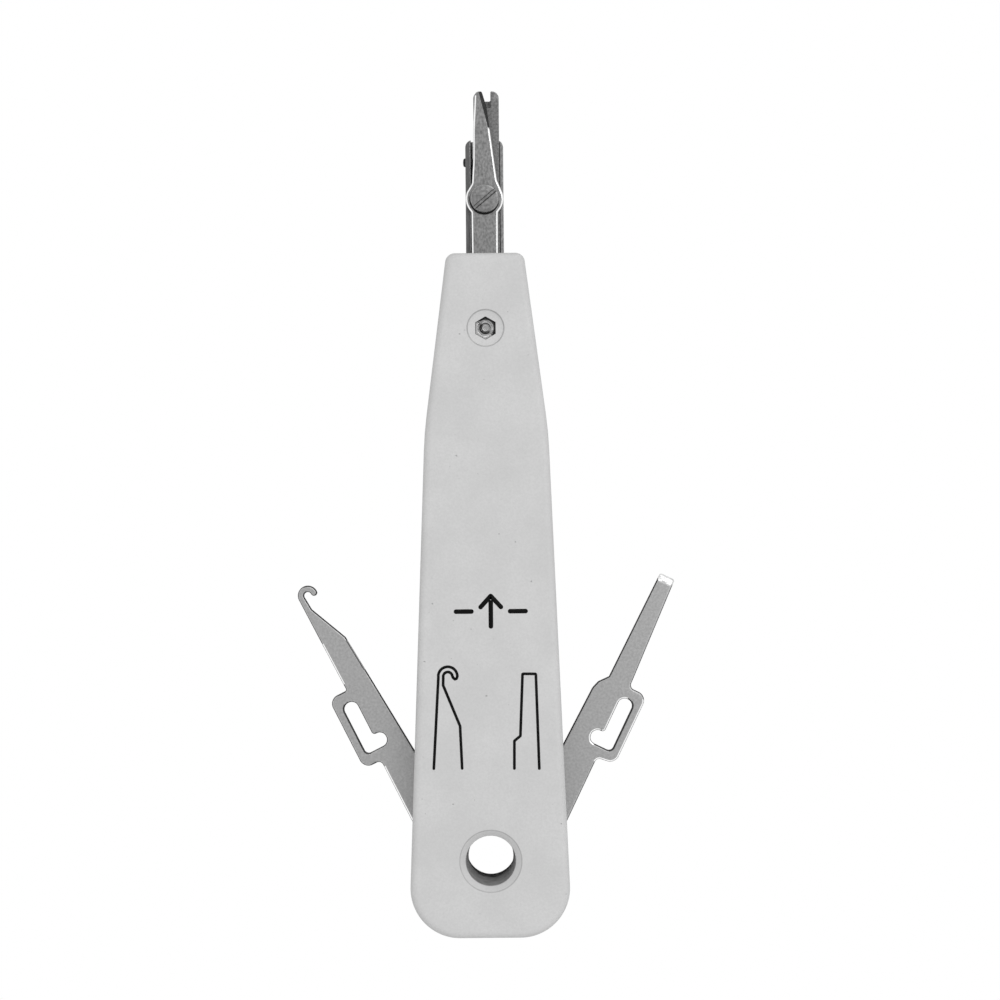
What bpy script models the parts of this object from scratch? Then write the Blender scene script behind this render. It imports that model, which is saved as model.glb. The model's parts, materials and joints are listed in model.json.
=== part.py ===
"""Punch down tool: a two-part handle with a sprung head, a scissor blade, a swinging hook and spudger.

The tool lies on its back face: +X to the right, +Y towards the tip, +Z out of the front face. Sizes
are in millimetres and turned to metres on the way in. Places along the tool are measured from the
butt of the handle, and the frame's origin is on the back face, BUTT_TO_ORIGIN from the butt.
"""

import math

import bmesh
import bpy
from mathutils import Vector

MM = 0.001

# Frame
BUTT_TO_ORIGIN = 70.6

# Handle
HANDLE_LENGTH = 141.9
HANDLE_THICKNESS = 21.0
MIDDLE = HANDLE_THICKNESS / 2
PARTING_GAP = 0.1  # from the middle plane to each half's rim
BUTT_HALF_WIDTH = 16.94  # where the butt and side lines would cross
BREAK_HALF_WIDTH = 12.85
BREAK_ALONG = 104.7
TOP_HALF_WIDTH = 8.02
BUTT_CORNER = 10.3
BREAK_ROUNDING = 80.0
TOP_CORNER = 2.0
FACE_ROUNDING = 1.5
WALL = 2.0
BLADE_SLOT = 1.6  # gap between the halves that the two swinging blades pass through
BLADE_SLOT_TOP = 80.1
BLADE_SLOT_CENTRE_WEB = 2.6  # half width of the butt that stays closed

# Lanyard hole
LANYARD_X = 0.17
LANYARD_ALONG = 16.03
LANYARD_RADIUS = 5.2
LANYARD_MIDDLE_RADIUS = 4.65
LANYARD_CHAMFER_RADIUS = 6.45
LANYARD_CHAMFER_DEPTH = 0.9
LANYARD_BOSS_RADIUS = 6.2

# Fasteners of the handle
CLAMP_ALONG = 126.3
CLAMP_SHANK_RADIUS = 0.98
CLAMP_HEAD_RADIUS = 1.9
NUT_ACROSS_FLATS = 4.0
NUT_POCKET_ACROSS_FLATS = 4.2
NUT_RECESS_RADIUS = 3.83
NUT_LOW = 18.85
NUT_THICKNESS = 1.6
HANDLE_SCREW_ALONG = 58.5
HANDLE_SCREW_RADIUS = 1.3
HANDLE_SCREW_HEAD_RADIUS = 2.6

# Swinging blades, in their own frames: outward from the pivot, then along towards the tip
PIVOT_SPREAD = 11.0
PIVOT_ALONG = 21.7
PIVOT_RADIUS = 1.5
WASHER_RADIUS = 2.9
BLADE_THICKNESS = 1.0
HOOK_LEAN = 26.7
SPUDGER_LEAN = 25.8
EAR_OUT = 8.0
EAR_LOW = 18.2
EAR_HIGH = 34.6

# Head
CHANNEL_HALF_WIDTH = 3.975
CHANNEL_WALL = 0.75
CHANNEL_BACK = 6.9
CHANNEL_FLOOR = 1.0
CHANNEL_FRONT = 11.2
CHANNEL_LOW = 116.2
CHANNEL_HIGH = 166.4
PLATE_THICKNESS = 1.5
PLATE_LOW = 135.6
TIP_ALONG = 176.6
TIP_LEFT = -2.2
TIP_RIGHT = 3.15
NOTCH_LEFT = -0.4
NOTCH_RIGHT = 1.4
REAR_NOTCH_BOTTOM = 174.7
FRONT_NOTCH_BOTTOM = 173.1
CROSS_PIN_ALONG = 161.8
CROSS_PIN_RADIUS = 0.92
CROSS_PIN_Z = 9.62
TRAVEL = 5.0
SLEEVE_RADIUS = 1.6

# Scissor
CUTTER_ALONG = 153.9
CUTTER_BACK = 11.4
CUTTER_THICKNESS = 1.5
CUTTER_EYE = 3.95
CUTTER_SHOULDER_RADIUS = 1.9
CAM_PIN_X = -0.7
CAM_PIN_ALONG = 135.4
CAM_PIN_RADIUS = 1.0
CAM_SWING = 6.0  # degrees that the scissor turns over the full travel

# Spring
SPRING_LOW = 88.0
SPRING_HIGH = 115.9
SPRING_RADIUS = 2.6
SPRING_WIRE = 0.4
SPRING_TURNS = 8
ROD_RADIUS = 1.2

FIT = 0.1  # radial clearance of a shaft in its hole
GAP = 0.15  # clearance between faces that rest on each other


def clear_scene():
    for obj in list(bpy.data.objects):
        bpy.data.objects.remove(obj)


clear_scene()
PARTS = bpy.data.collections.new("punch_down_tool")
CUTTERS = bpy.data.collections.new("cutters")
bpy.context.scene.collection.children.link(PARTS)
bpy.context.scene.collection.children.link(CUTTERS)


def place(x, along, z):
    """A point of the tool in metres, from millimetres with `along` counted from the butt."""
    return Vector((x * MM, (along - BUTT_TO_ORIGIN) * MM, z * MM))


def material(name, color, roughness, metallic):
    made = bpy.data.materials.new(name)
    made.use_nodes = True
    shader = made.node_tree.nodes["Principled BSDF"]
    shader.inputs["Base Color"].default_value = (*color, 1.0)
    shader.inputs["Roughness"].default_value = roughness
    shader.inputs["Metallic"].default_value = metallic
    return made


GREY_ABS = ("pale_grey_abs", (0.60, 0.60, 0.60), 0.55, 0.0)
GROUND_STEEL = ("ground_steel", (0.28, 0.28, 0.28), 0.4, 1.0)
BRIGHT_STEEL = ("bright_zinc_steel", (0.42, 0.42, 0.41), 0.3, 1.0)
SPRING_STEEL = ("spring_steel", (0.22, 0.22, 0.23), 0.35, 1.0)


# Outlines: lists of (x, y) in millimetres


def arc(centre, radius, start, end, steps):
    """Points on a circle from one angle to another, in degrees."""
    points = []
    for i in range(steps + 1):
        angle = math.radians(start + (end - start) * i / steps)
        points.append((centre[0] + radius * math.cos(angle), centre[1] + radius * math.sin(angle)))
    return points


def rounded(corners, step=18.0):
    """An outline from (x, y, radius) corners, with an arc in the place of each rounded corner."""
    points = []
    count = len(corners)
    for i, (x, y, radius) in enumerate(corners):
        here = Vector((x, y))
        if radius == 0:
            points.append((x, y))
            continue
        back = (Vector(corners[i - 1][:2]) - here).normalized()
        ahead = (Vector(corners[(i + 1) % count][:2]) - here).normalized()
        half_angle = back.angle(ahead) / 2
        centre = here + (back + ahead).normalized() * radius / math.sin(half_angle)
        first = here + back * radius / math.tan(half_angle) - centre
        last = here + ahead * radius / math.tan(half_angle) - centre
        turn = math.atan2(first.x * last.y - first.y * last.x, first.dot(last))
        start = math.degrees(math.atan2(first.y, first.x))
        steps = max(1, math.ceil(abs(math.degrees(turn)) / step))
        points += arc(centre, radius, start, start + math.degrees(turn), steps)
    return points


def sharp(points):
    """Outline points as corners without rounding, to stand among rounded ones."""
    return [(x, y, 0) for x, y in points]


def circle(radius, centre=(0.0, 0.0), steps=24):
    return arc(centre, radius, 0, 360, steps)[:-1]


def mirrored(points):
    """The same outline on the other side of the tool's axis."""
    return [(-x, y) for x, y in reversed(points)]


# Solids


def linked(name, mesh, finish, helper):
    obj = bpy.data.objects.new(name, mesh)
    (CUTTERS if helper else PARTS).objects.link(obj)
    if helper:
        obj.hide_render = True
        obj.display_type = "WIRE"
    else:
        mesh.materials.clear()
        mesh.materials.append(bpy.data.materials.get(finish[0]) or material(*finish))
        mesh.shade_smooth()
        mesh.set_sharp_from_angle(angle=math.radians(30))
    return obj


def flat(name, outlines, thickness, finish=None, edge=0.0, helper=False):
    """A plate of a 2D outline and its holes, centred on z = 0, with its outer edges rounded by `edge`."""
    curve = bpy.data.curves.new(name, "CURVE")
    curve.dimensions = "2D"
    curve.fill_mode = "BOTH"
    curve.extrude = (thickness / 2 - edge) * MM
    curve.bevel_depth = edge * MM
    curve.bevel_resolution = 2
    curve.offset = -edge * MM
    for outline in outlines:
        spline = curve.splines.new("POLY")
        spline.points.add(len(outline) - 1)
        for point, (x, y) in zip(spline.points, outline):
            point.co = (x * MM, y * MM, 0, 1)
        spline.use_cyclic_u = True
    guide = bpy.data.objects.new(name + "_outline", curve)
    CUTTERS.objects.link(guide)
    graph = bpy.context.evaluated_depsgraph_get()
    mesh = bpy.data.meshes.new_from_object(guide.evaluated_get(graph))
    bpy.data.objects.remove(guide)
    welded = bmesh.new()
    welded.from_mesh(mesh)
    bmesh.ops.remove_doubles(welded, verts=welded.verts, dist=1e-6)
    bmesh.ops.recalc_face_normals(welded, faces=welded.faces)
    welded.to_mesh(mesh)
    welded.free()
    return linked(name, mesh, finish, helper)


def box(name, low, high, finish=None, helper=False):
    """A box between two corners, each (x, along, z)."""
    first = place(*low)
    last = place(*high)
    shape = bmesh.new()
    bmesh.ops.create_cube(shape, size=1.0)
    bmesh.ops.scale(shape, vec=last - first, verts=shape.verts)
    mesh = bpy.data.meshes.new(name)
    shape.to_mesh(mesh)
    shape.free()
    obj = linked(name, mesh, finish, helper)
    obj.location = (first + last) / 2
    return obj


def turned(name, profile, finish=None, helper=False, steps=24, ring=False):
    """A solid turned about its own Z from (radius, z) points that run down its outer side."""
    mesh = bpy.data.meshes.new(name)
    points = [(radius * MM, 0, z * MM) for radius, z in profile]
    edges = [(i, i + 1) for i in range(len(points) - 1)]
    if ring:
        edges.append((len(points) - 1, 0))
    mesh.from_pydata(points, edges, [])
    obj = linked(name, mesh, finish, helper)
    screw = obj.modifiers.new("Turn", "SCREW")
    screw.steps = steps
    screw.render_steps = steps
    screw.use_merge_vertices = True
    screw.merge_threshold = 1e-6
    screw.use_smooth_shade = False
    return obj


def rod(name, radius, low, high, finish=None, helper=False, steps=20):
    """A cylinder about its own Z from low to high."""
    return turned(name, [(0, high), (radius, high), (radius, low), (0, low)], finish, helper, steps)


def ring(name, outer, inner, low, high, finish=None, helper=False):
    profile = [(outer, high), (outer, low), (inner, low), (inner, high)]
    return turned(name, profile, finish, helper, ring=True)


def hexagon(across_flats):
    """A hexagon's outline with two corners on Y."""
    return arc((0, 0), across_flats / math.sqrt(3), 30, 330, 5)


def use(obj, other, operation):
    boolean = obj.modifiers.new(other.name, "BOOLEAN")
    boolean.operation = operation
    boolean.solver = "EXACT"
    boolean.object = other


def cut(obj, *others):
    for other in others:
        use(obj, other, "DIFFERENCE")


def join(obj, *others):
    for other in others:
        use(obj, other, "UNION")


def at(obj, x, along, z=0.0):
    """Moves an object whose mesh is about its own origin to its place, and returns it."""
    obj.location = place(x, along, z)
    return obj


# Handle


def handle_outline(inset=0.0):
    """The handle's outline seen from the front, or a wall's thickness inside it."""
    taper = math.atan2(BUTT_HALF_WIDTH - BREAK_HALF_WIDTH, BREAK_ALONG)
    side = inset / math.cos(taper)
    bottom = inset
    top = HANDLE_LENGTH - inset
    lean = math.tan(taper)
    right = [
        (BUTT_HALF_WIDTH - side - bottom * lean, bottom, BUTT_CORNER - inset),
        (BREAK_HALF_WIDTH - side, BREAK_ALONG, BREAK_ROUNDING),
        (TOP_HALF_WIDTH - side, top, max(TOP_CORNER - inset, 0.3)),
    ]
    left = [(-x, y, radius) for x, y, radius in reversed(right)]
    return rounded(right + left, step=10.0)


def blade_slot_cutters(half, low, high):
    """Cutters that open the half's rim on both sides and round the butt, for the swinging blades."""
    outer = BUTT_HALF_WIDTH + 3
    for side, name in ((1, "right"), (-1, "left")):
        first, last = sorted((side * BLADE_SLOT_CENTRE_WEB, side * outer))
        yield box(f"{half}_slot_{name}", (first, -3, low), (last, BLADE_SLOT_TOP, high), helper=True)


def boss(name, x, along, radius, low, high):
    return at(rod(name, radius, low, high, helper=True, steps=24), x, along)


def hole(name, x, along, radius, low, high):
    """A round cutter, turned a little so that its facets don't line up with those of the boss round it."""
    cutter = at(rod(name, radius, low, high, helper=True), x, along)
    cutter.rotation_euler.z = math.radians(3)
    return cutter


def stepped_hole(name, x, along, head_radius, head_z, radius, high):
    """A counterbore from the back face, with a narrower hole going on from it."""
    narrow = [(0, high), (radius, high), (radius, head_z)]
    wide = [(head_radius, head_z), (head_radius, -1), (0, -1)]
    cutter = at(turned(name, narrow + wide, helper=True), x, along)
    cutter.rotation_euler.z = math.radians(3)
    return cutter


def half_shell(name, front):
    """One half of the handle: outer form, hollow, slots for the blades, ribs and bosses, then holes."""
    shell = at(flat(name, [handle_outline()], HANDLE_THICKNESS, GREY_ABS, FACE_ROUNDING), 0, 0, MIDDLE)
    rim = MIDDLE + PARTING_GAP if front else MIDDLE - PARTING_GAP
    face = HANDLE_THICKNESS if front else 0.0
    inner = face - WALL if front else WALL
    away = -5.0 if front else HANDLE_THICKNESS + 5.0
    beyond = HANDLE_THICKNESS + 1 if front else -1.0
    slot_edge = MIDDLE + BLADE_SLOT / 2 if front else MIDDLE - BLADE_SLOT / 2

    def between(a, b):
        return sorted((a, b))

    low, high = between(away, rim)
    width = BUTT_HALF_WIDTH + 8
    cut(shell, box(name + "_other_half", (-width, -8, low), (width, HANDLE_LENGTH + 8, high), helper=True))
    hollow_low, hollow_high = between(inner, MIDDLE - 3 if front else MIDDLE + 3)
    hollow = flat(name + "_hollow", [handle_outline(WALL)], hollow_high - hollow_low, helper=True)
    cut(shell, at(hollow, 0, 0, (hollow_low + hollow_high) / 2))
    low, high = between(slot_edge, MIDDLE - 2 if front else MIDDLE + 2)
    cut(shell, *blade_slot_cutters(name, low, high))

    def boss_to(label, x, along, radius, end):
        low, high = between(end, face - 0.5 if front else 0.5)
        join(shell, boss(f"{name}_{label}", x, along, radius, low, high))

    def rib_to(label, x_low, x_high, low_along, high_along, end):
        low, high = between(end, face - 1.0 if front else 1.0)
        join(shell, box(f"{name}_{label}", (x_low, low_along, low), (x_high, high_along, high), helper=True))

    boss_to("lanyard_boss", LANYARD_X, LANYARD_ALONG, LANYARD_BOSS_RADIUS, rim)
    boss_to("screw_boss", 0, HANDLE_SCREW_ALONG, 3.7, rim)
    pivot_end = MIDDLE + 1.45 if front else MIDDLE - BLADE_SLOT / 2
    for side, label in ((-1, "hook_boss"), (1, "spudger_boss")):
        boss_to(label, side * PIVOT_SPREAD, PIVOT_ALONG, 3.4, pivot_end)
    rib_to("spring_rib", -7.5, 7.5, SPRING_LOW - 4, SPRING_LOW - 1.7, rim)
    if front:
        boss_to("clamp_boss", 0, CLAMP_ALONG, 3.6, 14.2)
        boss_to("cam_boss", CAM_PIN_X, CAM_PIN_ALONG, 2.2, 13.4)
        for side, label in ((-1, "left"), (1, "right")):
            first, last = sorted((side * 3.5, side * 4.5))
            rib_to(f"{label}_hold_down", first, last, SPRING_LOW + 0.6, CHANNEL_LOW + 6.4, 11.5)
    else:
        boss_to("clamp_boss", 0, CLAMP_ALONG, 2.9, CHANNEL_BACK - 0.25)
        for side, label in ((-1, "left"), (1, "right")):
            first, last = sorted((side * 4.3, side * 5.4))
            rib_to(f"{label}_guide", first, last, SPRING_LOW - 0.9, HANDLE_LENGTH - 0.9, rim)
        rib_to("slide_bed", -2.4, 2.4, CLAMP_ALONG + 5.3, HANDLE_LENGTH - 0.9, CHANNEL_BACK - 0.25)

    mouth = ((-4.35, HANDLE_LENGTH - 3, CHANNEL_BACK - 0.3), (4.35, HANDLE_LENGTH + 2, 13.3))
    cut(shell, box(name + "_mouth", *mouth, helper=True))
    if front:
        lanyard = [
            (0, face + 1),
            (LANYARD_CHAMFER_RADIUS + 0.4, face + 1),
            (LANYARD_CHAMFER_RADIUS, face),
            (LANYARD_RADIUS, face - LANYARD_CHAMFER_DEPTH),
            (LANYARD_MIDDLE_RADIUS, MIDDLE - 1),
            (0, MIDDLE - 1),
        ]
    else:
        lanyard = [
            (0, MIDDLE + 1),
            (LANYARD_MIDDLE_RADIUS, MIDDLE + 1),
            (LANYARD_RADIUS, LANYARD_CHAMFER_DEPTH),
            (LANYARD_CHAMFER_RADIUS, 0),
            (LANYARD_CHAMFER_RADIUS + 0.4, -1),
            (0, -1),
        ]
    lanyard_hole = turned(name + "_lanyard_hole", lanyard, helper=True, steps=40)
    cut(shell, at(lanyard_hole, LANYARD_X, LANYARD_ALONG))
    for side, label in ((-1, "hook"), (1, "spudger")):
        low, high = between(MIDDLE, face - 2.8 if front else 2.8)
        socket = f"{name}_{label}_socket"
        cut(shell, hole(socket, side * PIVOT_SPREAD, PIVOT_ALONG, PIVOT_RADIUS + FIT, low, high))
    if front:
        cam_radius = CAM_PIN_RADIUS + FIT
        screw_radius = HANDLE_SCREW_RADIUS + FIT
        pocket = flat(name + "_nut_pocket", [hexagon(NUT_POCKET_ACROSS_FLATS)], 6, helper=True)
        cut(
            shell,
            hole(name + "_recess", 0, CLAMP_ALONG, NUT_RECESS_RADIUS, face - 0.25, beyond),
            at(pocket, 0, CLAMP_ALONG, NUT_LOW - 0.25 + 3),
            hole(name + "_clamp_hole", 0, CLAMP_ALONG, CLAMP_SHANK_RADIUS + FIT, 12, face),
            hole(name + "_cam_socket", CAM_PIN_X, CAM_PIN_ALONG, cam_radius, 10, face - 1.2),
            hole(name + "_screw_hole", 0, HANDLE_SCREW_ALONG, screw_radius, MIDDLE - 1, 17.5),
        )
    else:
        cut(
            shell,
            stepped_hole(
                name + "_clamp_hole",
                0,
                CLAMP_ALONG,
                CLAMP_HEAD_RADIUS + 0.3,
                2.3,
                CLAMP_SHANK_RADIUS + FIT,
                MIDDLE,
            ),
            stepped_hole(
                name + "_screw_hole",
                0,
                HANDLE_SCREW_ALONG,
                HANDLE_SCREW_HEAD_RADIUS + 0.3,
                3.2,
                HANDLE_SCREW_RADIUS + 0.3,
                MIDDLE + 1,
            ),
        )
    return shell


def cross_slot(name, x, along, z, length):
    """Two crossed bars that sink a cross recess into a screw head at the back."""
    for turn, label in ((45, "a"), (135, "b")):
        outline = [(-length, -0.25), (length, -0.25), (length, 0.25), (-length, 0.25)]
        bar = at(flat(f"{name}_{label}", [outline], 1.2, helper=True), x, along, z)
        bar.rotation_euler.z = math.radians(turn)
        yield bar


def handle_fasteners():
    head = (0.8, 2.15)
    end = 20.45
    profile = [
        (0, end),
        (CLAMP_SHANK_RADIUS - 0.25, end),
        (CLAMP_SHANK_RADIUS, end - 0.3),
        (CLAMP_SHANK_RADIUS, head[1]),
        (CLAMP_HEAD_RADIUS, head[1]),
        (CLAMP_HEAD_RADIUS, head[0] + 0.4),
        (CLAMP_HEAD_RADIUS - 0.4, head[0]),
        (0, head[0]),
    ]
    screw = at(turned("clamp_screw", profile, BRIGHT_STEEL), 0, CLAMP_ALONG)
    cut(screw, *cross_slot("clamp_screw_cross", 0, CLAMP_ALONG, head[0], 1.1))

    outlines = [hexagon(NUT_ACROSS_FLATS), circle(CLAMP_SHANK_RADIUS + FIT)]
    nut = flat("clamp_nut", outlines, NUT_THICKNESS, BRIGHT_STEEL)
    at(nut, 0, CLAMP_ALONG, NUT_LOW + NUT_THICKNESS / 2)
    corners = [(0, 21), (1.75, 21), (1.85, 20.47), (2.6, 20.05), (2.6, 18), (0, 18)]
    use(nut, at(turned("clamp_nut_chamfer", corners, helper=True), 0, CLAMP_ALONG), "INTERSECT")
    sleeve = ring("clamp_sleeve", SLEEVE_RADIUS, CLAMP_SHANK_RADIUS + 0.15, 6.8, 14.05, BRIGHT_STEEL)
    at(sleeve, 0, CLAMP_ALONG)

    low, high = (1.2, 3.0)
    tip = 17.0
    profile = [
        (0, tip),
        (HANDLE_SCREW_RADIUS - 0.7, tip),
        (HANDLE_SCREW_RADIUS, tip - 1.8),
        (HANDLE_SCREW_RADIUS, high),
        (HANDLE_SCREW_HEAD_RADIUS, high),
        (HANDLE_SCREW_HEAD_RADIUS, low + 0.6),
        (HANDLE_SCREW_HEAD_RADIUS - 0.6, low),
        (0, low),
    ]
    screw = at(turned("handle_screw", profile, BRIGHT_STEEL), 0, HANDLE_SCREW_ALONG)
    cut(screw, *cross_slot("handle_screw_cross", 0, HANDLE_SCREW_ALONG, low, 1.5))


# Swinging blades


def ear_slot(out):
    """The L-shaped slot in a blade's ear, with its foot reaching in under the blade's edge."""
    right = out - 1.9
    left = right - 3.0
    foot = right - 5.3
    low = 20.7
    high = 32.1
    corners = [
        (right, low, 1.0),
        (right, high, 1.45),
        (left, high, 1.45),
        (left, low + 3.0, 0.7),
        (foot, low + 3.0, 1.45),
        (foot, low, 1.45),
    ]
    return rounded(corners, step=22.5)


def hook_outline():
    """The hook, pointing up, with its ear to the right of the pivot."""
    edge = 4.05
    eye = 4.1
    curl = (1.9, 56.05)
    outer = 2.15
    inner = 0.75
    tip = 0.7
    corners = [
        (edge, -eye, 4.0),
        (edge, EAR_LOW, 0.3),
        (EAR_OUT, EAR_LOW, 2.0),
        (EAR_OUT, EAR_HIGH, 2.0),
        (edge, EAR_HIGH, 0.3),
    ]
    corners += sharp(arc(curl, outer, 0, 180, 10))
    corners += sharp(arc((curl[0] - outer + tip, curl[1]), tip, 202.5, 337.5, 6))
    corners += sharp(arc(curl, inner, 180, 0, 8))
    corners += [
        (2.45, 53.1, 0.5),
        (-1.2, 44.7, 0.6),
        (-4.4, 1.0, 6.0),
        (-4.4, -eye, 4.0),
    ]
    return rounded(corners)


def spudger_outline():
    """The spudger, pointing up, with its ear to the right of the pivot."""
    edge = 4.1
    eye = 4.1
    corners = [
        (edge, -eye, 4.0),
        (edge, EAR_LOW, 0.3),
        (EAR_OUT + 0.1, EAR_LOW + 0.5, 2.0),
        (EAR_OUT + 0.1, EAR_HIGH - 0.1, 2.0),
        (edge - 0.1, EAR_HIGH - 0.1, 0.3),
        (2.9, 59.1, 0.3),
        (-0.5, 59.1, 0.3),
        (-0.95, 34.8, 0.4),
        (-2.55, 32.9, 0.8),
        (-3.1, 31.2, 2.0),
        (-4.2, 1.0, 6.0),
        (-4.2, -eye, 4.0),
    ]
    return rounded(corners)


def swinging_blades():
    pivot_hole = circle(PIVOT_RADIUS + FIT)
    hook = flat(
        "hook_blade",
        [mirrored(hook_outline()), mirrored(ear_slot(EAR_OUT)), pivot_hole],
        BLADE_THICKNESS,
        GROUND_STEEL,
    )
    at(hook, -PIVOT_SPREAD, PIVOT_ALONG, MIDDLE)
    hook.rotation_euler.z = math.radians(HOOK_LEAN)
    spudger = flat(
        "spudger_blade",
        [spudger_outline(), ear_slot(EAR_OUT + 0.1), pivot_hole],
        BLADE_THICKNESS,
        GROUND_STEEL,
    )
    at(spudger, PIVOT_SPREAD, PIVOT_ALONG, MIDDLE)
    spudger.rotation_euler.z = math.radians(-SPUDGER_LEAN)
    wedge = flat("spudger_bevel", [[(-3, 0), (6, 0), (6, 3), (-3, 3)]], 2.0, helper=True)
    wedge.parent = spudger
    wedge.location = Vector((0, 57.5, 1.5)) * MM
    wedge.rotation_euler.x = math.radians(-22)
    cut(spudger, wedge)

    washer_low = MIDDLE + BLADE_THICKNESS / 2 + 0.2
    for side, label in ((-1, "hook"), (1, "spudger")):
        pin = [(0, 17.9), (1.2, 17.9), (PIVOT_RADIUS, 17.6), (PIVOT_RADIUS, 3.4), (1.2, 3.1), (0, 3.1)]
        at(turned(label + "_pivot_pin", pin, BRIGHT_STEEL), side * PIVOT_SPREAD, PIVOT_ALONG)
        washer_name = label + "_friction_washer"
        bore = PIVOT_RADIUS + 0.15
        washer = ring(washer_name, WASHER_RADIUS, bore, washer_low, washer_low + 0.5, SPRING_STEEL)
        at(washer, side * PIVOT_SPREAD, PIVOT_ALONG)


# Head


def plate_outline(notch_bottom):
    """A plate of the laminated tip, seen from the front, with its notch open to the tip."""
    corners = [
        (TIP_LEFT, PLATE_LOW, 0.3),
        (TIP_RIGHT, PLATE_LOW, 0.3),
        (TIP_RIGHT, TIP_ALONG, 1.5),
        (NOTCH_RIGHT, TIP_ALONG, 0.2),
        (NOTCH_RIGHT, notch_bottom, 0.3),
        (NOTCH_LEFT, notch_bottom, 0.3),
        (NOTCH_LEFT, TIP_ALONG, 0.2),
        (TIP_LEFT, TIP_ALONG, 1.5),
    ]
    return rounded([(x, y - CUTTER_ALONG, radius) for x, y, radius in corners])


def channel():
    half = CHANNEL_HALF_WIDTH
    outline = rounded(
        [
            (-half, CHANNEL_LOW, 0.3),
            (half, CHANNEL_LOW, 0.3),
            (half, CHANNEL_HIGH, 1.3),
            (-half, CHANNEL_HIGH, 1.3),
        ]
    )
    depth = CHANNEL_FRONT - CHANNEL_BACK
    made = at(flat("slide_channel", [outline], depth, GROUND_STEEL), 0, 0, CHANNEL_BACK + depth / 2)
    inner = half - CHANNEL_WALL
    floor = CHANNEL_BACK + CHANNEL_FLOOR
    hollow = ((-inner, CHANNEL_LOW + 1, floor), (inner, CHANNEL_HIGH + 3, 14))
    end_tab = ((-2.9, CHANNEL_LOW, floor - 0.5), (2.9, CHANNEL_LOW + 1.3, 13.4))
    cut(made, box("channel_inside", *hollow, helper=True))
    join(made, box("channel_end", *end_tab, helper=True))
    slot_half = SLEEVE_RADIUS + 0.2
    slot_low = CLAMP_ALONG - slot_half - 0.1
    slot_high = CLAMP_ALONG + TRAVEL + slot_half + 0.1
    corners = [
        (slot_half, slot_low, slot_half - 0.02),
        (slot_half, slot_high, slot_half - 0.02),
        (-slot_half, slot_high, slot_half - 0.02),
        (-slot_half, slot_low, slot_half - 0.02),
    ]
    slot = at(flat("channel_slot", [rounded(corners)], 6, helper=True), 0, 0, CHANNEL_BACK)
    rod_hole = rod("channel_rod_hole", ROD_RADIUS + FIT, -3, 3, helper=True)
    rod_hole.rotation_euler.x = math.radians(90)
    at(rod_hole, 0, CHANNEL_LOW, MIDDLE)
    cut(made, slot, rod_hole)
    return made


def head():
    frame = channel()
    back = CHANNEL_BACK + CHANNEL_FLOOR + GAP
    front = back + PLATE_THICKNESS + GAP
    rear_outline = [plate_outline(REAR_NOTCH_BOTTOM), circle(1.5)]
    front_outline = [plate_outline(FRONT_NOTCH_BOTTOM), circle(1.5)]
    pusher = flat("push_plate", rear_outline, PLATE_THICKNESS, GROUND_STEEL)
    inserter = flat("insertion_blade", front_outline, PLATE_THICKNESS, GROUND_STEEL)
    at(pusher, 0, CUTTER_ALONG, back + PLATE_THICKNESS / 2)
    at(inserter, 0, CUTTER_ALONG, front + PLATE_THICKNESS / 2)
    cross_hole = rod("cross_pin_hole", CROSS_PIN_RADIUS + FIT, -6, 6, helper=True)
    cross_hole.rotation_euler.y = math.radians(90)
    at(cross_hole, 0, CROSS_PIN_ALONG, CROSS_PIN_Z)
    for plate in (frame, pusher, inserter):
        cut(plate, cross_hole)
    cut(frame, hole("channel_screw_hole", 0, CUTTER_ALONG, 1.5, 5, 9))

    left = -4.5
    right = 3.9
    profile = [
        (0, right),
        (CROSS_PIN_RADIUS, right),
        (CROSS_PIN_RADIUS, left + 0.3),
        (CROSS_PIN_RADIUS - 0.35, left),
        (0, left),
    ]
    pin = turned("cross_pin", profile, BRIGHT_STEEL, steps=20)
    pin.rotation_euler.y = math.radians(90)
    at(pin, 0, CROSS_PIN_ALONG, CROSS_PIN_Z)

    head_low = CUTTER_BACK + CUTTER_THICKNESS + 0.1
    head_high = head_low + 0.85
    profile = [
        (0, head_high),
        (2.3, head_high),
        (2.8, head_high - 0.12),
        (3.0, head_high - 0.35),
        (3.0, head_low),
        (CUTTER_SHOULDER_RADIUS, head_low),
        (CUTTER_SHOULDER_RADIUS, CHANNEL_FRONT + 0.1),
        (1.4, CHANNEL_FRONT + 0.1),
        (1.4, 4.9),
        (1.1, 4.6),
        (0, 4.6),
    ]
    screw = at(turned("cutter_screw", profile, BRIGHT_STEEL, steps=32), 0, CUTTER_ALONG)
    slot = flat("cutter_screw_slot", [[(-4, -0.32), (4, -0.32), (4, 0.32), (-4, 0.32)]], 2.0, helper=True)
    slot.rotation_euler.z = math.radians(40)
    at(slot, 0, CUTTER_ALONG, head_high + 1.0 - 0.45)
    cut(screw, slot)
    nut_thickness = 1.6
    nut = flat("cutter_nut", [hexagon(5.0), circle(1.5)], nut_thickness, BRIGHT_STEEL)
    at(nut, 0, CUTTER_ALONG, CHANNEL_BACK - GAP - nut_thickness / 2)

    profile = [
        (0, 2.8),
        (2.0, 2.8),
        (2.0, 1.5),
        (ROD_RADIUS, 1.5),
        (ROD_RADIUS, -22.6),
        (ROD_RADIUS - 0.4, -23.2),
        (0, -23.2),
    ]
    guide = turned("spring_rod", profile, BRIGHT_STEEL)
    guide.rotation_euler.x = math.radians(-90)
    at(guide, 0, CHANNEL_LOW, MIDDLE)


def cam_path(travel):
    """The cam pin's centre seen from the scissor, for a travel of the head."""
    turn = math.radians(CAM_SWING * travel / TRAVEL)
    down = CUTTER_ALONG - travel - CAM_PIN_ALONG
    x = CAM_PIN_X * math.cos(turn) + down * math.sin(turn)
    y = CAM_PIN_X * math.sin(turn) - down * math.cos(turn)
    return Vector((x, y))


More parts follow.
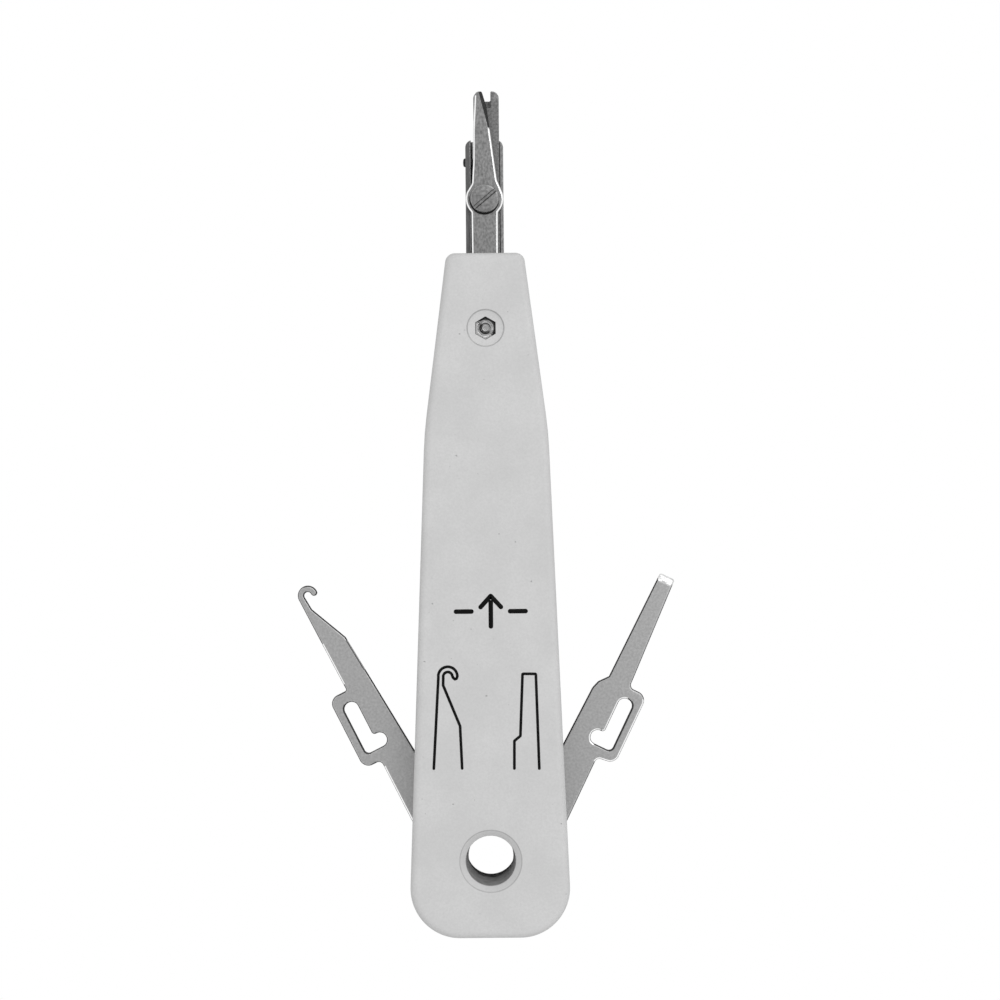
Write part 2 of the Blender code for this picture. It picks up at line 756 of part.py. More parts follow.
def cam_slot():
    """The slot that the cam pin needs along its path, with round ends."""
    radius = CAM_PIN_RADIUS + FIT
    stations = [TRAVEL * i / 4 for i in range(5)]
    path = [cam_path(travel) for travel in stations]
    along = [(path[min(i + 1, 4)] - path[max(i - 1, 0)]).normalized() for i in range(5)]
    right = [p + Vector((d.y, -d.x)) * radius for p, d in zip(path, along)]
    left = [p - Vector((d.y, -d.x)) * radius for p, d in zip(path, along)]
    top = math.degrees(math.atan2(along[-1].y, along[-1].x))
    bottom = math.degrees(math.atan2(along[0].y, along[0].x))
    outline = [tuple(p) for p in right]
    outline += arc(path[-1], radius, top - 90, top + 90, 8)[1:-1]
    outline += [tuple(p) for p in reversed(left)]
    outline += arc(path[0], radius, bottom + 90, bottom + 270, 8)[1:-1]
    return outline


def cutter_outline():
    """The scissor blade about its pivot, with its tail going down into the handle."""
    tail = -20.6
    corners = [(-2.7, tail, 0.6), (2.7, tail, 0.6), (2.78, -2.9, 0)]
    corners += sharp(arc((0, 0), CUTTER_EYE, -42, 24, 7))
    corners += [
        (2.62, 3.9, 1.5),
        (1.15, 14.9, 4.0),
        (0.55, 19.4, 2.0),
        (-0.4, 22.5, 0.5),
        (-1.85, 22.5, 0.9),
        (-2.27, 14.4, 20.0),
        (-2.35, 7.5, 10.0),
        (-2.62, 3.2, 1.2),
    ]
    corners += sharp(arc((0, 0), CUTTER_EYE, 158, 222, 7))
    corners.append((-2.78, -2.9, 0))
    return rounded(corners)


def scissor():
    outlines = [cutter_outline(), circle(CUTTER_SHOULDER_RADIUS + FIT), cam_slot()]
    blade = flat("cutter_blade", outlines, CUTTER_THICKNESS, GROUND_STEEL)
    at(blade, 0, CUTTER_ALONG, CUTTER_BACK + CUTTER_THICKNESS / 2)
    at(rod("cutter_cam_pin", CAM_PIN_RADIUS, CUTTER_BACK, 19.6, BRIGHT_STEEL), CAM_PIN_X, CAM_PIN_ALONG)


# Spring


def coil(name, low, high, radius, wire, turns, finish):
    """A compression spring along Y with closed end turns."""
    per_turn = 12
    count = per_turn * turns
    curve = bpy.data.curves.new(name, "CURVE")
    curve.dimensions = "3D"
    curve.bevel_depth = wire * MM
    curve.bevel_resolution = 2
    curve.use_fill_caps = True
    spline = curve.splines.new("POLY")
    spline.points.add(count)
    closed_share = 1.0 / turns
    for i, point in enumerate(spline.points):
        share = i / count
        ease = (share - closed_share) / (1 - 2 * closed_share)
        rise = min(max(ease, 0.0), 1.0) * (high - low - 6 * wire)
        rise += 2.0 * wire * min(share / closed_share, 1.0)
        rise += 2.0 * wire * max((share - 1 + closed_share) / closed_share, 0.0)
        angle = 2 * math.pi * i / per_turn
        x = radius * math.cos(angle) * MM
        z = radius * math.sin(angle) * MM
        point.co = (x, (wire + rise) * MM, z, 1)
    obj = bpy.data.objects.new(name, curve)
    PARTS.objects.link(obj)
    curve.materials.append(bpy.data.materials.get(finish[0]) or material(*finish))
    return at(obj, 0, low, MIDDLE)


def spring_parts():
    coil("main_spring", SPRING_LOW, SPRING_HIGH, SPRING_RADIUS, SPRING_WIRE, SPRING_TURNS, SPRING_STEEL)
    seat = ring("spring_seat", 3.6, ROD_RADIUS + 0.3, 0, 1.2, BRIGHT_STEEL)
    seat.rotation_euler.x = math.radians(-90)
    at(seat, 0, SPRING_LOW - 1.4, MIDDLE)


half_shell("front_shell", front=True)
half_shell("back_shell", front=False)
handle_fasteners()
swinging_blades()
head()
scissor()
spring_parts()
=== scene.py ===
"""Punch down tool: the finished handle, head, scissor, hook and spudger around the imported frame.

Shapes are drawn in millimetres as (x, along, z), with `along` counted from the butt of the handle, and
`finished` puts each one in the frame in metres.
"""

import json
import math

import bmesh
import bpy
from mathutils import Matrix, Vector

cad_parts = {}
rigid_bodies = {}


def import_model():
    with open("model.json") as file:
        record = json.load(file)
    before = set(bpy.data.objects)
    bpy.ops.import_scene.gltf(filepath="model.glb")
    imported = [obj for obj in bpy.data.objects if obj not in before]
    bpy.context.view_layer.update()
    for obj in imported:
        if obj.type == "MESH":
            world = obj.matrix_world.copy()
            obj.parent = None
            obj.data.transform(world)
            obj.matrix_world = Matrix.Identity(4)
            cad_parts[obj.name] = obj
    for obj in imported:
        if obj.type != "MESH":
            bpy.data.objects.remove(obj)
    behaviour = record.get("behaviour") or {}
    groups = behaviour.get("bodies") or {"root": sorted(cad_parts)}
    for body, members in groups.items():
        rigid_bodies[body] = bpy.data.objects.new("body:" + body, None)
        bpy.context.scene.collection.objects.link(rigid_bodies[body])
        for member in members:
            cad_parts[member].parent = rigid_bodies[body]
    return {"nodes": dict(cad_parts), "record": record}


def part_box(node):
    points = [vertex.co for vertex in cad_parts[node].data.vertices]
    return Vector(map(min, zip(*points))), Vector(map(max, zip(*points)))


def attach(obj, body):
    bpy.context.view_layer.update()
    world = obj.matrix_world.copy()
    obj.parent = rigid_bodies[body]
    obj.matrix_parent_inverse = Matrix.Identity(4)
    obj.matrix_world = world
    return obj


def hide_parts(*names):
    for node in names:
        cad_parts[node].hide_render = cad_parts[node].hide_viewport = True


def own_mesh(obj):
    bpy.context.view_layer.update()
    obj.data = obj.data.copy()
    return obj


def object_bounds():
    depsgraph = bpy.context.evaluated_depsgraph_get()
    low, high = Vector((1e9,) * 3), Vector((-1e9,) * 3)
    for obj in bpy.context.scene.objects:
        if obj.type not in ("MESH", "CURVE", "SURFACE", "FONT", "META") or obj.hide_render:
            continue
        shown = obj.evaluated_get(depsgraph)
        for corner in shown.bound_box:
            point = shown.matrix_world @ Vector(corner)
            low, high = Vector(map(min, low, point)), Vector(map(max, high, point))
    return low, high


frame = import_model()
cad_low, cad_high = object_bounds()

MM = 0.001
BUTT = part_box("back_shell")[0].y
TO_FRAME = Matrix.Translation((0, BUTT, 0)) @ Matrix.Scale(MM, 4)
WORKSHOP = bpy.data.collections.new("workshop")
bpy.context.scene.collection.children.link(WORKSHOP)


def cad(node):
    """A CAD node's lowest and highest corner in the tool's millimetres."""
    low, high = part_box(node)
    shift = Vector((0, BUTT, 0))
    return (low - shift) / MM, (high - shift) / MM


def middle_of(node):
    low, high = cad(node)
    return (low + high) / 2


PIVOTS = {
    joint["name"]: (Vector(joint["pos_m"]) - Vector((0, BUTT, 0))) / MM
    for joint in frame["record"]["behaviour"]["joints"]
    if "pos_m" in joint
}

# Handle
THICKNESS = cad("front_shell")[1].z
LENGTH = cad("back_shell")[1].y
INK_THICKNESS = 0.015
FACE = THICKNESS - INK_THICKNESS
MIDDLE = THICKNESS / 2
SEAM = 0.05
BUTT_HALF_WIDTH = 16.94
BREAK_HALF_WIDTH = 12.85
BREAK_ALONG = 104.7
TOP_HALF_WIDTH = 8.02
BUTT_CORNER = 10.3
BREAK_ROUNDING = 80.0
TOP_CORNER = 2.0
FACE_ROUNDING = 1.5
WALL = 2.0
BLADE_SLOT = 1.6
BLADE_SLOT_TOP = 80.1
PIVOT_HOLE = 1.6
LANYARD_X = 0.17
LANYARD_ALONG = 16.03
LANYARD_BORE = 4.65
NUT_POCKET = 4.2
CLAMP_BORE = 1.08
CLAMP = middle_of("clamp_nut")
HANDLE_SCREW = middle_of("handle_screw")
CAM_PIN = middle_of("cutter_cam_pin")
SPRING_LOW = cad("main_spring")[0].y
CHANNEL_LOW = cad("slide_channel")[0].y
CHANNEL_BACK = cad("slide_channel")[0].z

# Head
CUTTER = PIVOTS["cutter_swing"]
CROSS_PIN = middle_of("cross_pin")
CROSS_BORE = 1.02
ACROSS = Matrix.Translation(CROSS_PIN) @ Matrix.Rotation(math.radians(90), 4, "Y")
UPRIGHT = Matrix.Rotation(math.radians(90), 4, "X")
CHANNEL_FRONT = 11.2
HEAD_TRAVEL = 5.0
SCISSOR_TURN = 6.0
BEVEL_START = (0.98, 14.3)
BEVEL_END = (-1.2, 22.9)

# Swinging blades
HALF_BLADE = 0.5
TIP_GRIND_START = 57.25
TIP_GRIND_FALL = 0.38
HOOK_LEAN = 26.7
SPUDGER_LEAN = -25.8

# A face whose normal leans this little from Z counts as flat
FLAT = 0.985


# Outlines: lists of (x, y) in millimetres


def arc(centre, radius, start, end, step=5.0):
    """Points on a circle from one angle to another, in degrees."""
    steps = max(2, math.ceil(abs(end - start) / step))
    points = []
    for i in range(steps + 1):
        angle = math.radians(start + (end - start) * i / steps)
        points.append((centre[0] + radius * math.cos(angle), centre[1] + radius * math.sin(angle)))
    return points


def rounded(corners, step=6.0):
    """An outline from (x, y, radius) corners, with an arc in the place of each rounded corner."""
    points = []
    count = len(corners)
    for i, (x, y, radius) in enumerate(corners):
        here = Vector((x, y))
        if radius == 0:
            points.append((x, y))
            continue
        back = (Vector(corners[i - 1][:2]) - here).normalized()
        ahead = (Vector(corners[(i + 1) % count][:2]) - here).normalized()
        half_angle = back.angle(ahead) / 2
        centre = here + (back + ahead).normalized() * radius / math.sin(half_angle)
        first = here + back * radius / math.tan(half_angle) - centre
        last = here + ahead * radius / math.tan(half_angle) - centre
        turn = math.degrees(math.atan2(first.x * last.y - first.y * last.x, first.dot(last)))
        start = math.degrees(math.atan2(first.y, first.x))
        points += arc(centre, radius, start, start + turn, step)
    return points


def sharp(points):
    return [(x, y, 0) for x, y in points]


def circle(radius, centre=(0.0, 0.0), step=5.0):
    return arc(centre, radius, 0, 360, step)[:-1]


def hexagon(across_flats, corner=0.0):
    """A hexagon with two corners on Y, whose corners may be rounded."""
    corners = [(x, y, corner) for x, y in arc((0, 0), across_flats / math.sqrt(3), 30, 330, 60)]
    return rounded(corners, 15)


def mirrored(points):
    return [(-x, y) for x, y in reversed(points)]


# Solids


def workpiece(mesh, place=None):
    obj = bpy.data.objects.new("workpiece", mesh)
    WORKSHOP.objects.link(obj)
    if place is not None:
        mesh.transform(place)
    return obj


def plate(outlines, low, high, edge=0.0, rings=3, place=None):
    """A plate of an outline and its holes from z = low to high, with all its edges rounded by `edge`."""
    curve = bpy.data.curves.new("outline", "CURVE")
    curve.dimensions = "2D"
    curve.fill_mode = "BOTH"
    curve.extrude = (high - low) / 2 - edge
    curve.bevel_depth = edge
    curve.bevel_resolution = rings
    curve.offset = -edge
    for outline in outlines:
        spline = curve.splines.new("POLY")
        spline.points.add(len(outline) - 1)
        for point, (x, y) in zip(spline.points, outline):
            point.co = (x, y, 0, 1)
        spline.use_cyclic_u = True
    guide = bpy.data.objects.new("outline", curve)
    WORKSHOP.objects.link(guide)
    mesh = baked(guide)
    bpy.data.objects.remove(guide)
    shape = bmesh.new()
    shape.from_mesh(mesh)
    bmesh.ops.remove_doubles(shape, verts=shape.verts, dist=1e-4)
    bmesh.ops.recalc_face_normals(shape, faces=shape.faces)
    shape.to_mesh(mesh)
    shape.free()
    mesh.transform(Matrix.Translation((0, 0, (low + high) / 2)))
    return workpiece(mesh, place)


def prism(lower, upper):
    """A solid between a lower and an upper loop of as many (x, along, z) corners, both anticlockwise."""
    shape = bmesh.new()
    below = [shape.verts.new(corner) for corner in lower]
    above = [shape.verts.new(corner) for corner in upper]
    count = len(below)
    shape.faces.new(reversed(below))
    shape.faces.new(above)
    for i in range(count):
        shape.faces.new((below[i], below[(i + 1) % count], above[(i + 1) % count], above[i]))
    mesh = bpy.data.meshes.new("prism")
    shape.to_mesh(mesh)
    shape.free()
    return workpiece(mesh)


def box(low, high):
    corners = [(low[0], low[1]), (high[0], low[1]), (high[0], high[1]), (low[0], high[1])]
    return prism([(x, y, low[2]) for x, y in corners], [(x, y, high[2]) for x, y in corners])


def turned(profile, place=None, steps=72, ring=False):
    """A solid turned about Z from (radius, z) points that run down its outer side."""
    shape = bmesh.new()
    rows = []
    for radius, z in profile:
        if radius < 1e-6:
            rows.append([shape.verts.new((0, 0, z))])
            continue
        turn = [2 * math.pi * i / steps for i in range(steps)]
        rows.append([shape.verts.new((radius * math.cos(a), radius * math.sin(a), z)) for a in turn])
    pairs = list(zip(rows, rows[1:]))
    if ring:
        pairs.append((rows[-1], rows[0]))
    for upper, lower in pairs:
        for i in range(steps):
            j = (i + 1) % steps
            if len(upper) == 1:
                shape.faces.new((upper[0], lower[i], lower[j]))
            elif len(lower) == 1:
                shape.faces.new((upper[i], lower[0], upper[j]))
            else:
                shape.faces.new((upper[i], lower[i], lower[j], upper[j]))
    mesh = bpy.data.meshes.new("turned")
    shape.to_mesh(mesh)
    shape.free()
    return workpiece(mesh, place)


def rod(radius, low, high, place, steps=48):
    """A round bar about Z from z = low to high."""
    return turned([(0, high), (radius, high), (radius, low), (0, low)], place, steps)


def use(obj, operation, *others):
    for other in others:
        boolean = obj.modifiers.new("join", "BOOLEAN")
        boolean.operation = operation
        boolean.solver = "EXACT"
        boolean.object = other


def cut(obj, *others):
    use(obj, "DIFFERENCE", *others)
    return obj


def at(x, along, z=0.0, turn=0.0):
    return Matrix.Translation((x, along, z)) @ Matrix.Rotation(math.radians(turn), 4, "Z")


# Materials


def linear(colour):
    """A hex colour as it is written in sRGB, as the linear values that a shader takes."""
    channels = [int(colour[i : i + 2], 16) / 255 for i in (1, 3, 5)]
    return (*[c / 12.92 if c <= 0.04045 else ((c + 0.055) / 1.055) ** 2.4 for c in channels], 1.0)


def add(tree, kind, inputs=None, **settings):
    """Adds a node with its settings, and fills its inputs with values or other nodes' outputs."""
    made = tree.nodes.new(kind)
    for name, value in settings.items():
        setattr(made, name, value)
    for name, value in (inputs or {}).items():
        if isinstance(value, bpy.types.NodeSocket):
            tree.links.new(value, made.inputs[name])
        else:
            made.inputs[name].default_value = value
    return made


def blank_material(name):
    """A material with only a Principled shader and its output, and that shader."""
    made = bpy.data.materials.new(name)
    made.use_nodes = True
    tree = made.node_tree
    tree.nodes.clear()
    shader = add(tree, "ShaderNodeBsdfPrincipled")
    add(tree, "ShaderNodeOutputMaterial", {"Surface": shader.outputs["BSDF"]})
    return made, tree, shader


def roughen(tree, shader, height, strength, depth_mm):
    """Raises and sinks the surface with a texture, over a depth in millimetres."""
    relief = {"Height": height, "Strength": strength, "Distance": depth_mm * MM}
    tree.links.new(add(tree, "ShaderNodeBump", relief).outputs["Normal"], shader.inputs["Normal"])


def grain(tree, size_mm, detail=3.0, stretch=(1.0, 1.0, 1.0), turn=0.0):
    """Noise with spots of a size in millimetres, longer along an axis where its stretch is under 1."""
    place = add(tree, "ShaderNodeTexCoord").outputs["Object"]
    turned_to = {"Vector": place, "Rotation": (0, 0, math.radians(turn)), "Scale": stretch}
    mapped = add(tree, "ShaderNodeMapping", turned_to).outputs["Vector"]
    sizes = {"Vector": mapped, "Scale": 1 / (size_mm * MM), "Detail": detail}
    return add(tree, "ShaderNodeTexNoise", sizes, normalize=True).outputs["Fac"]


def spread(tree, value, low, high, start=0.0, end=1.0):
    """A value between low and high stretched to run from start to end."""
    limits = {"Value": value, "From Min": low, "From Max": high, "To Min": start, "To Max": end}
    return add(tree, "ShaderNodeMapRange", limits).outputs["Result"]


def blend_colours(tree, share, first, second):
    """The mix of two colours, each a hex value or another node's output."""
    mix = add(tree, "ShaderNodeMix", data_type="RGBA")
    tree.links.new(share, mix.inputs[0])
    for socket, colour in ((mix.inputs[6], first), (mix.inputs[7], second)):
        if isinstance(colour, str):
            socket.default_value = linear(colour)
        else:
            tree.links.new(colour, socket)
    return mix.outputs[2]


def moulded_abs():
    """Pale grey ABS, injection moulded in a spark-eroded tool: an even matt grain with a few dark specks."""
    made, tree, shader = blank_material("moulded_abs")
    clouds = spread(tree, grain(tree, 9.0, 2.0), 0.35, 0.65)
    base = blend_colours(tree, clouds, "#cdcdcd", "#d3d3d3")
    salt = spread(tree, grain(tree, 0.45, 2.0), 0.3, 0.7)
    base = blend_colours(tree, spread(tree, salt, 0.0, 1.0, 0.0, 0.35), base, "#bdbdbd")
    specks = spread(tree, grain(tree, 0.9, 1.0), 0.78, 0.82)
    base = blend_colours(tree, specks, base, "#9c9c9c")
    tree.links.new(base, shader.inputs["Base Color"])
    tree.links.new(spread(tree, salt, 0.0, 1.0, 0.50, 0.62), shader.inputs["Roughness"])
    shader.inputs["IOR"].default_value = 1.54
    roughen(tree, shader, grain(tree, 0.4, 4.0), 0.35, 0.06)
    return made


def painted_shade_abs(name, dark, light):
    """The same plastic painted darker with a mottle, as painted shade in the bore of the hole and on the
    rims round it; smoother off the core pin.
    """
    made, tree, shader = blank_material(name)
    mottle = spread(tree, grain(tree, 1.6, 4.0), 0.35, 0.65)
    tree.links.new(blend_colours(tree, mottle, dark, light), shader.inputs["Base Color"])
    tree.links.new(spread(tree, mottle, 0.0, 1.0, 0.5, 0.38), shader.inputs["Roughness"])
    shader.inputs["IOR"].default_value = 1.54
    return made


def printed_ink():
    """Black pad-printing ink on the grain of the plastic: nearly matt, a little thinner in places."""
    made, tree, shader = blank_material("printed_ink")
    thin = spread(tree, grain(tree, 0.5, 2.0), 0.45, 0.8)
    tree.links.new(blend_colours(tree, thin, "#020202", "#0c0c0c"), shader.inputs["Base Color"])
    tree.links.new(spread(tree, thin, 0.0, 1.0, 0.45, 0.6), shader.inputs["Roughness"])
    shader.inputs["Specular IOR Level"].default_value = 0.12
    roughen(tree, shader, grain(tree, 0.4, 4.0), 0.3, 0.05)
    return made


def steel(name, dark, light, roughness, spot_mm, stretch, bump, turn=0.0):
    """Steel from two colours, a roughness range, and the size and direction of the marks on it."""
    made, tree, shader = blank_material(name)
    marks = grain(tree, spot_mm, 3.0, stretch, turn)
    patches = spread(tree, grain(tree, 2.5, 3.0), 0.3, 0.7)
    share = spread(tree, marks, 0.3, 0.7)
    base = blend_colours(tree, share, dark, light)
    base = blend_colours(tree, spread(tree, patches, 0.0, 1.0, 0.0, 0.3), base, dark)
    tree.links.new(base, shader.inputs["Base Color"])
    tree.links.new(spread(tree, patches, 0.0, 1.0, *roughness), shader.inputs["Roughness"])
    shader.inputs["Metallic"].default_value = 1.0
    roughen(tree, shader, marks, bump, 0.02)
    return made


def faced_steel():
    """A screw head faced on the lathe: plain steel with fine rings about its axis."""
    made, tree, shader = blank_material("lathe_faced_steel")
    place = add(tree, "ShaderNodeTexCoord").outputs["Object"]
    centre = (0, -CUTTER.y * MM - BUTT, 0)
    centred = add(tree, "ShaderNodeMapping", {"Vector": place, "Location": centre}).outputs["Vector"]
    turns = {"Vector": centred, "Scale": 1 / (3.2 * MM), "Distortion": 1.2, "Detail Scale": 2.0}
    kind = {"wave_type": "RINGS", "rings_direction": "Z", "wave_profile": "SIN"}
    rings = add(tree, "ShaderNodeTexWave", turns, **kind).outputs["Fac"]
    marks = grain(tree, 0.6, 3.0)
    base = blend_colours(tree, spread(tree, marks, 0.3, 0.7), "#838383", "#a4a4a4")
    base = blend_colours(tree, spread(tree, rings, 0.0, 1.0, 0.0, 0.25), base, "#6a6a6a")
    tree.links.new(base, shader.inputs["Base Color"])
    tree.links.new(spread(tree, marks, 0.3, 0.7, 0.32, 0.45), shader.inputs["Roughness"])
    shader.inputs["Metallic"].default_value = 1.0
    roughen(tree, shader, rings, 0.4, 0.03)
    return made


EVEN = (1.0, 1.0, 1.0)
LENGTHWISE = (1.0, 0.12, 1.0)

PLASTIC = moulded_abs()
# Painted shade in plastic: a darker grey on the rims round the hole and the nut's dish, the bore of the hole
# darker, its back half darkest
SHADED_RIM_ABS = painted_shade_abs("abs_rim_painted_shade", "#aeaeae", "#b8b8b8")
SHADED_BORE_ABS = painted_shade_abs("abs_bore_painted_shade", "#9c9c9c", "#b4b4b4")
DEEPER_SHADED_BORE_ABS = painted_shade_abs("abs_deep_bore_painted_shade", "#626262", "#7a7a7a")
INK = printed_ink()
FACED = faced_steel()
# Cold rolled sheet, blanked and tumbled: matt, faintly mottled
BLANKED = steel("blanked_sheet_steel", "#acacac", "#c2c2c2", (0.42, 0.55), 0.5, EVEN, 0.3)
# Steel painted brighter than its face: painted light on stretches of the blades' inner rims and inside the
# channel, where shade falls
PAINTED_LIGHT_STEEL = steel("steel_painted_light", "#c9c9c9", "#ececec", (0.25, 0.35), 0.4, EVEN, 0.15)
# A bevel fresh off the grinding belt: bright, with deep scratches
SHARPENED = steel("fresh_ground_bevel", "#9c9c9c", "#ffffff", (0.3, 0.4), 0.4, EVEN, 0.8)
# Steel painted dark, with a torn grain: painted shade standing in for the dark reflections on the blades'
# rims and the nut's chamfers
PAINTED_SHADE_STEEL = steel("steel_painted_shade", "#3c3c3c", "#606060", (0.4, 0.5), 0.3, EVEN, 0.4)
# Surface-ground tool steel: fine lines along the blade
GROUND = steel("ground_tool_steel", "#787878", "#ababab", (0.38, 0.5), 0.4, (1.0, 0.6, 1.0), 0.3)
# Hardened blades, a little darker than the scissor
HARDENED = steel("hardened_blade_steel", "#6a6a6a", "#969696", (0.38, 0.5), 0.4, EVEN, 0.3)
# Polished chamfer of the scissor: nearly a mirror; the same bright steel is a painted highlight on the
# blades' outer rims and the nut's chamfers
POLISH_AND_HIGHLIGHT = steel("polished_steel_and_painted_highlight", "#f4f4f4", "#ffffff", (0.12, 0.2), 0.4, EVEN, 0.1)
# The scissor's bevel, painted dark with a coarse grain: a painted dark reflection on the bevel and a painted
# shadow in the crescent under the screw
BEVEL_PAINTED_SHADE = steel("scissor_bevel_painted_shade", "#303030", "#4c4c4c", (0.4, 0.5), 0.3, EVEN, 0.4)
# Rolled mild steel sheet, oiled: darker, with rolling lines
ROLLED = steel("rolled_channel_steel", "#606060", "#7c7c7c", (0.35, 0.5), 0.3, LENGTHWISE, 0.3)
# Bright zinc plating on turned and headed parts
ZINC = steel("bright_zinc_plating", "#a8a8a8", "#c5c5c5", (0.22, 0.32), 0.4, EVEN, 0.15)
# The same plating on the hot-forged nut, scratched by its spanner
SCRATCHED_ZINC = steel("scratched_zinc_plating", "#343434", "#ffffff", (0.2, 0.35), 1.1, EVEN, 1.0)
# Near black, a little glossy steel on the rivet: its own dark colour at its end, and painted shade along the
# length that lies in the dark gap
RIVET_STEEL_AND_SHADE = steel("dark_rivet_steel_and_painted_shade", "#0a0a0a", "#484848", (0.15, 0.3), 0.5, EVEN, 1.0)
# Drawn spring wire: dark, with drawing lines
WIRE = steel("drawn_spring_wire", "#5c5c5e", "#7c7c7e", (0.3, 0.4), 0.3, EVEN, 0.2)


# Finished pieces


def baked(obj):
    """A new mesh of an object with its modifiers applied."""
    graph = bpy.context.evaluated_depsgraph_get()
    return bpy.data.meshes.new_from_object(obj.evaluated_get(graph))


def in_scene(name, data):
    """A new object that is linked to the scene."""
    obj = bpy.data.objects.new(name, data)
    bpy.context.scene.collection.objects.link(obj)
    return obj


def finished(obj, name, finishes, body, replaced, slot, crease=28.0, place=None):
    """Bakes a workpiece to a mesh in metres, shades it, and hands it to the frame."""
    mesh = baked(obj)
    shape = bmesh.new()
    shape.from_mesh(mesh)
    bmesh.ops.remove_doubles(shape, verts=shape.verts, dist=1e-4)
    bmesh.ops.dissolve_degenerate(shape, edges=shape.edges, dist=1e-4)
    if place is not None:
        bmesh.ops.transform(shape, matrix=place, verts=shape.verts)
    bmesh.ops.transform(shape, matrix=TO_FRAME, verts=shape.verts)
    bmesh.ops.recalc_face_normals(shape, faces=shape.faces)
    shape.to_mesh(mesh)
    shape.free()
    mesh.materials.clear()
    for finish in finishes:
        mesh.materials.append(finish)
    for polygon in mesh.polygons:
        polygon.material_index = 0
    mesh.shade_smooth()
    mesh.set_sharp_from_angle(angle=math.radians(crease))
    piece = in_scene(name, mesh)
    weights = piece.modifiers.new("flat_faces_lead", "WEIGHTED_NORMAL")
    weights.keep_sharp = True
    weights.weight = 100
    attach(piece, body)
    if replaced:
        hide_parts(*replaced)
    return piece


def give(piece, index, test):
    """Gives another of the piece's finishes to the faces that pass a test on (middle, normal)."""
    for polygon in piece.data.polygons:
        if test(polygon.center, polygon.normal):
            polygon.material_index = index


# Handle halves


def handle_outline(inset=0.0):
    """The handle's outline seen from the front, or a wall's thickness inside it."""
    taper = math.atan2(BUTT_HALF_WIDTH - BREAK_HALF_WIDTH, BREAK_ALONG)
    side = inset / math.cos(taper)
    right = [
        (BUTT_HALF_WIDTH - side - inset * math.tan(taper), inset, BUTT_CORNER - inset),
        (BREAK_HALF_WIDTH - side, BREAK_ALONG, BREAK_ROUNDING),
        (TOP_HALF_WIDTH - side, LENGTH - inset, max(TOP_CORNER - inset, 0.3)),
    ]
    left = [(-x, y, radius) for x, y, radius in reversed(right)]
    return rounded(right + left, 3.0)


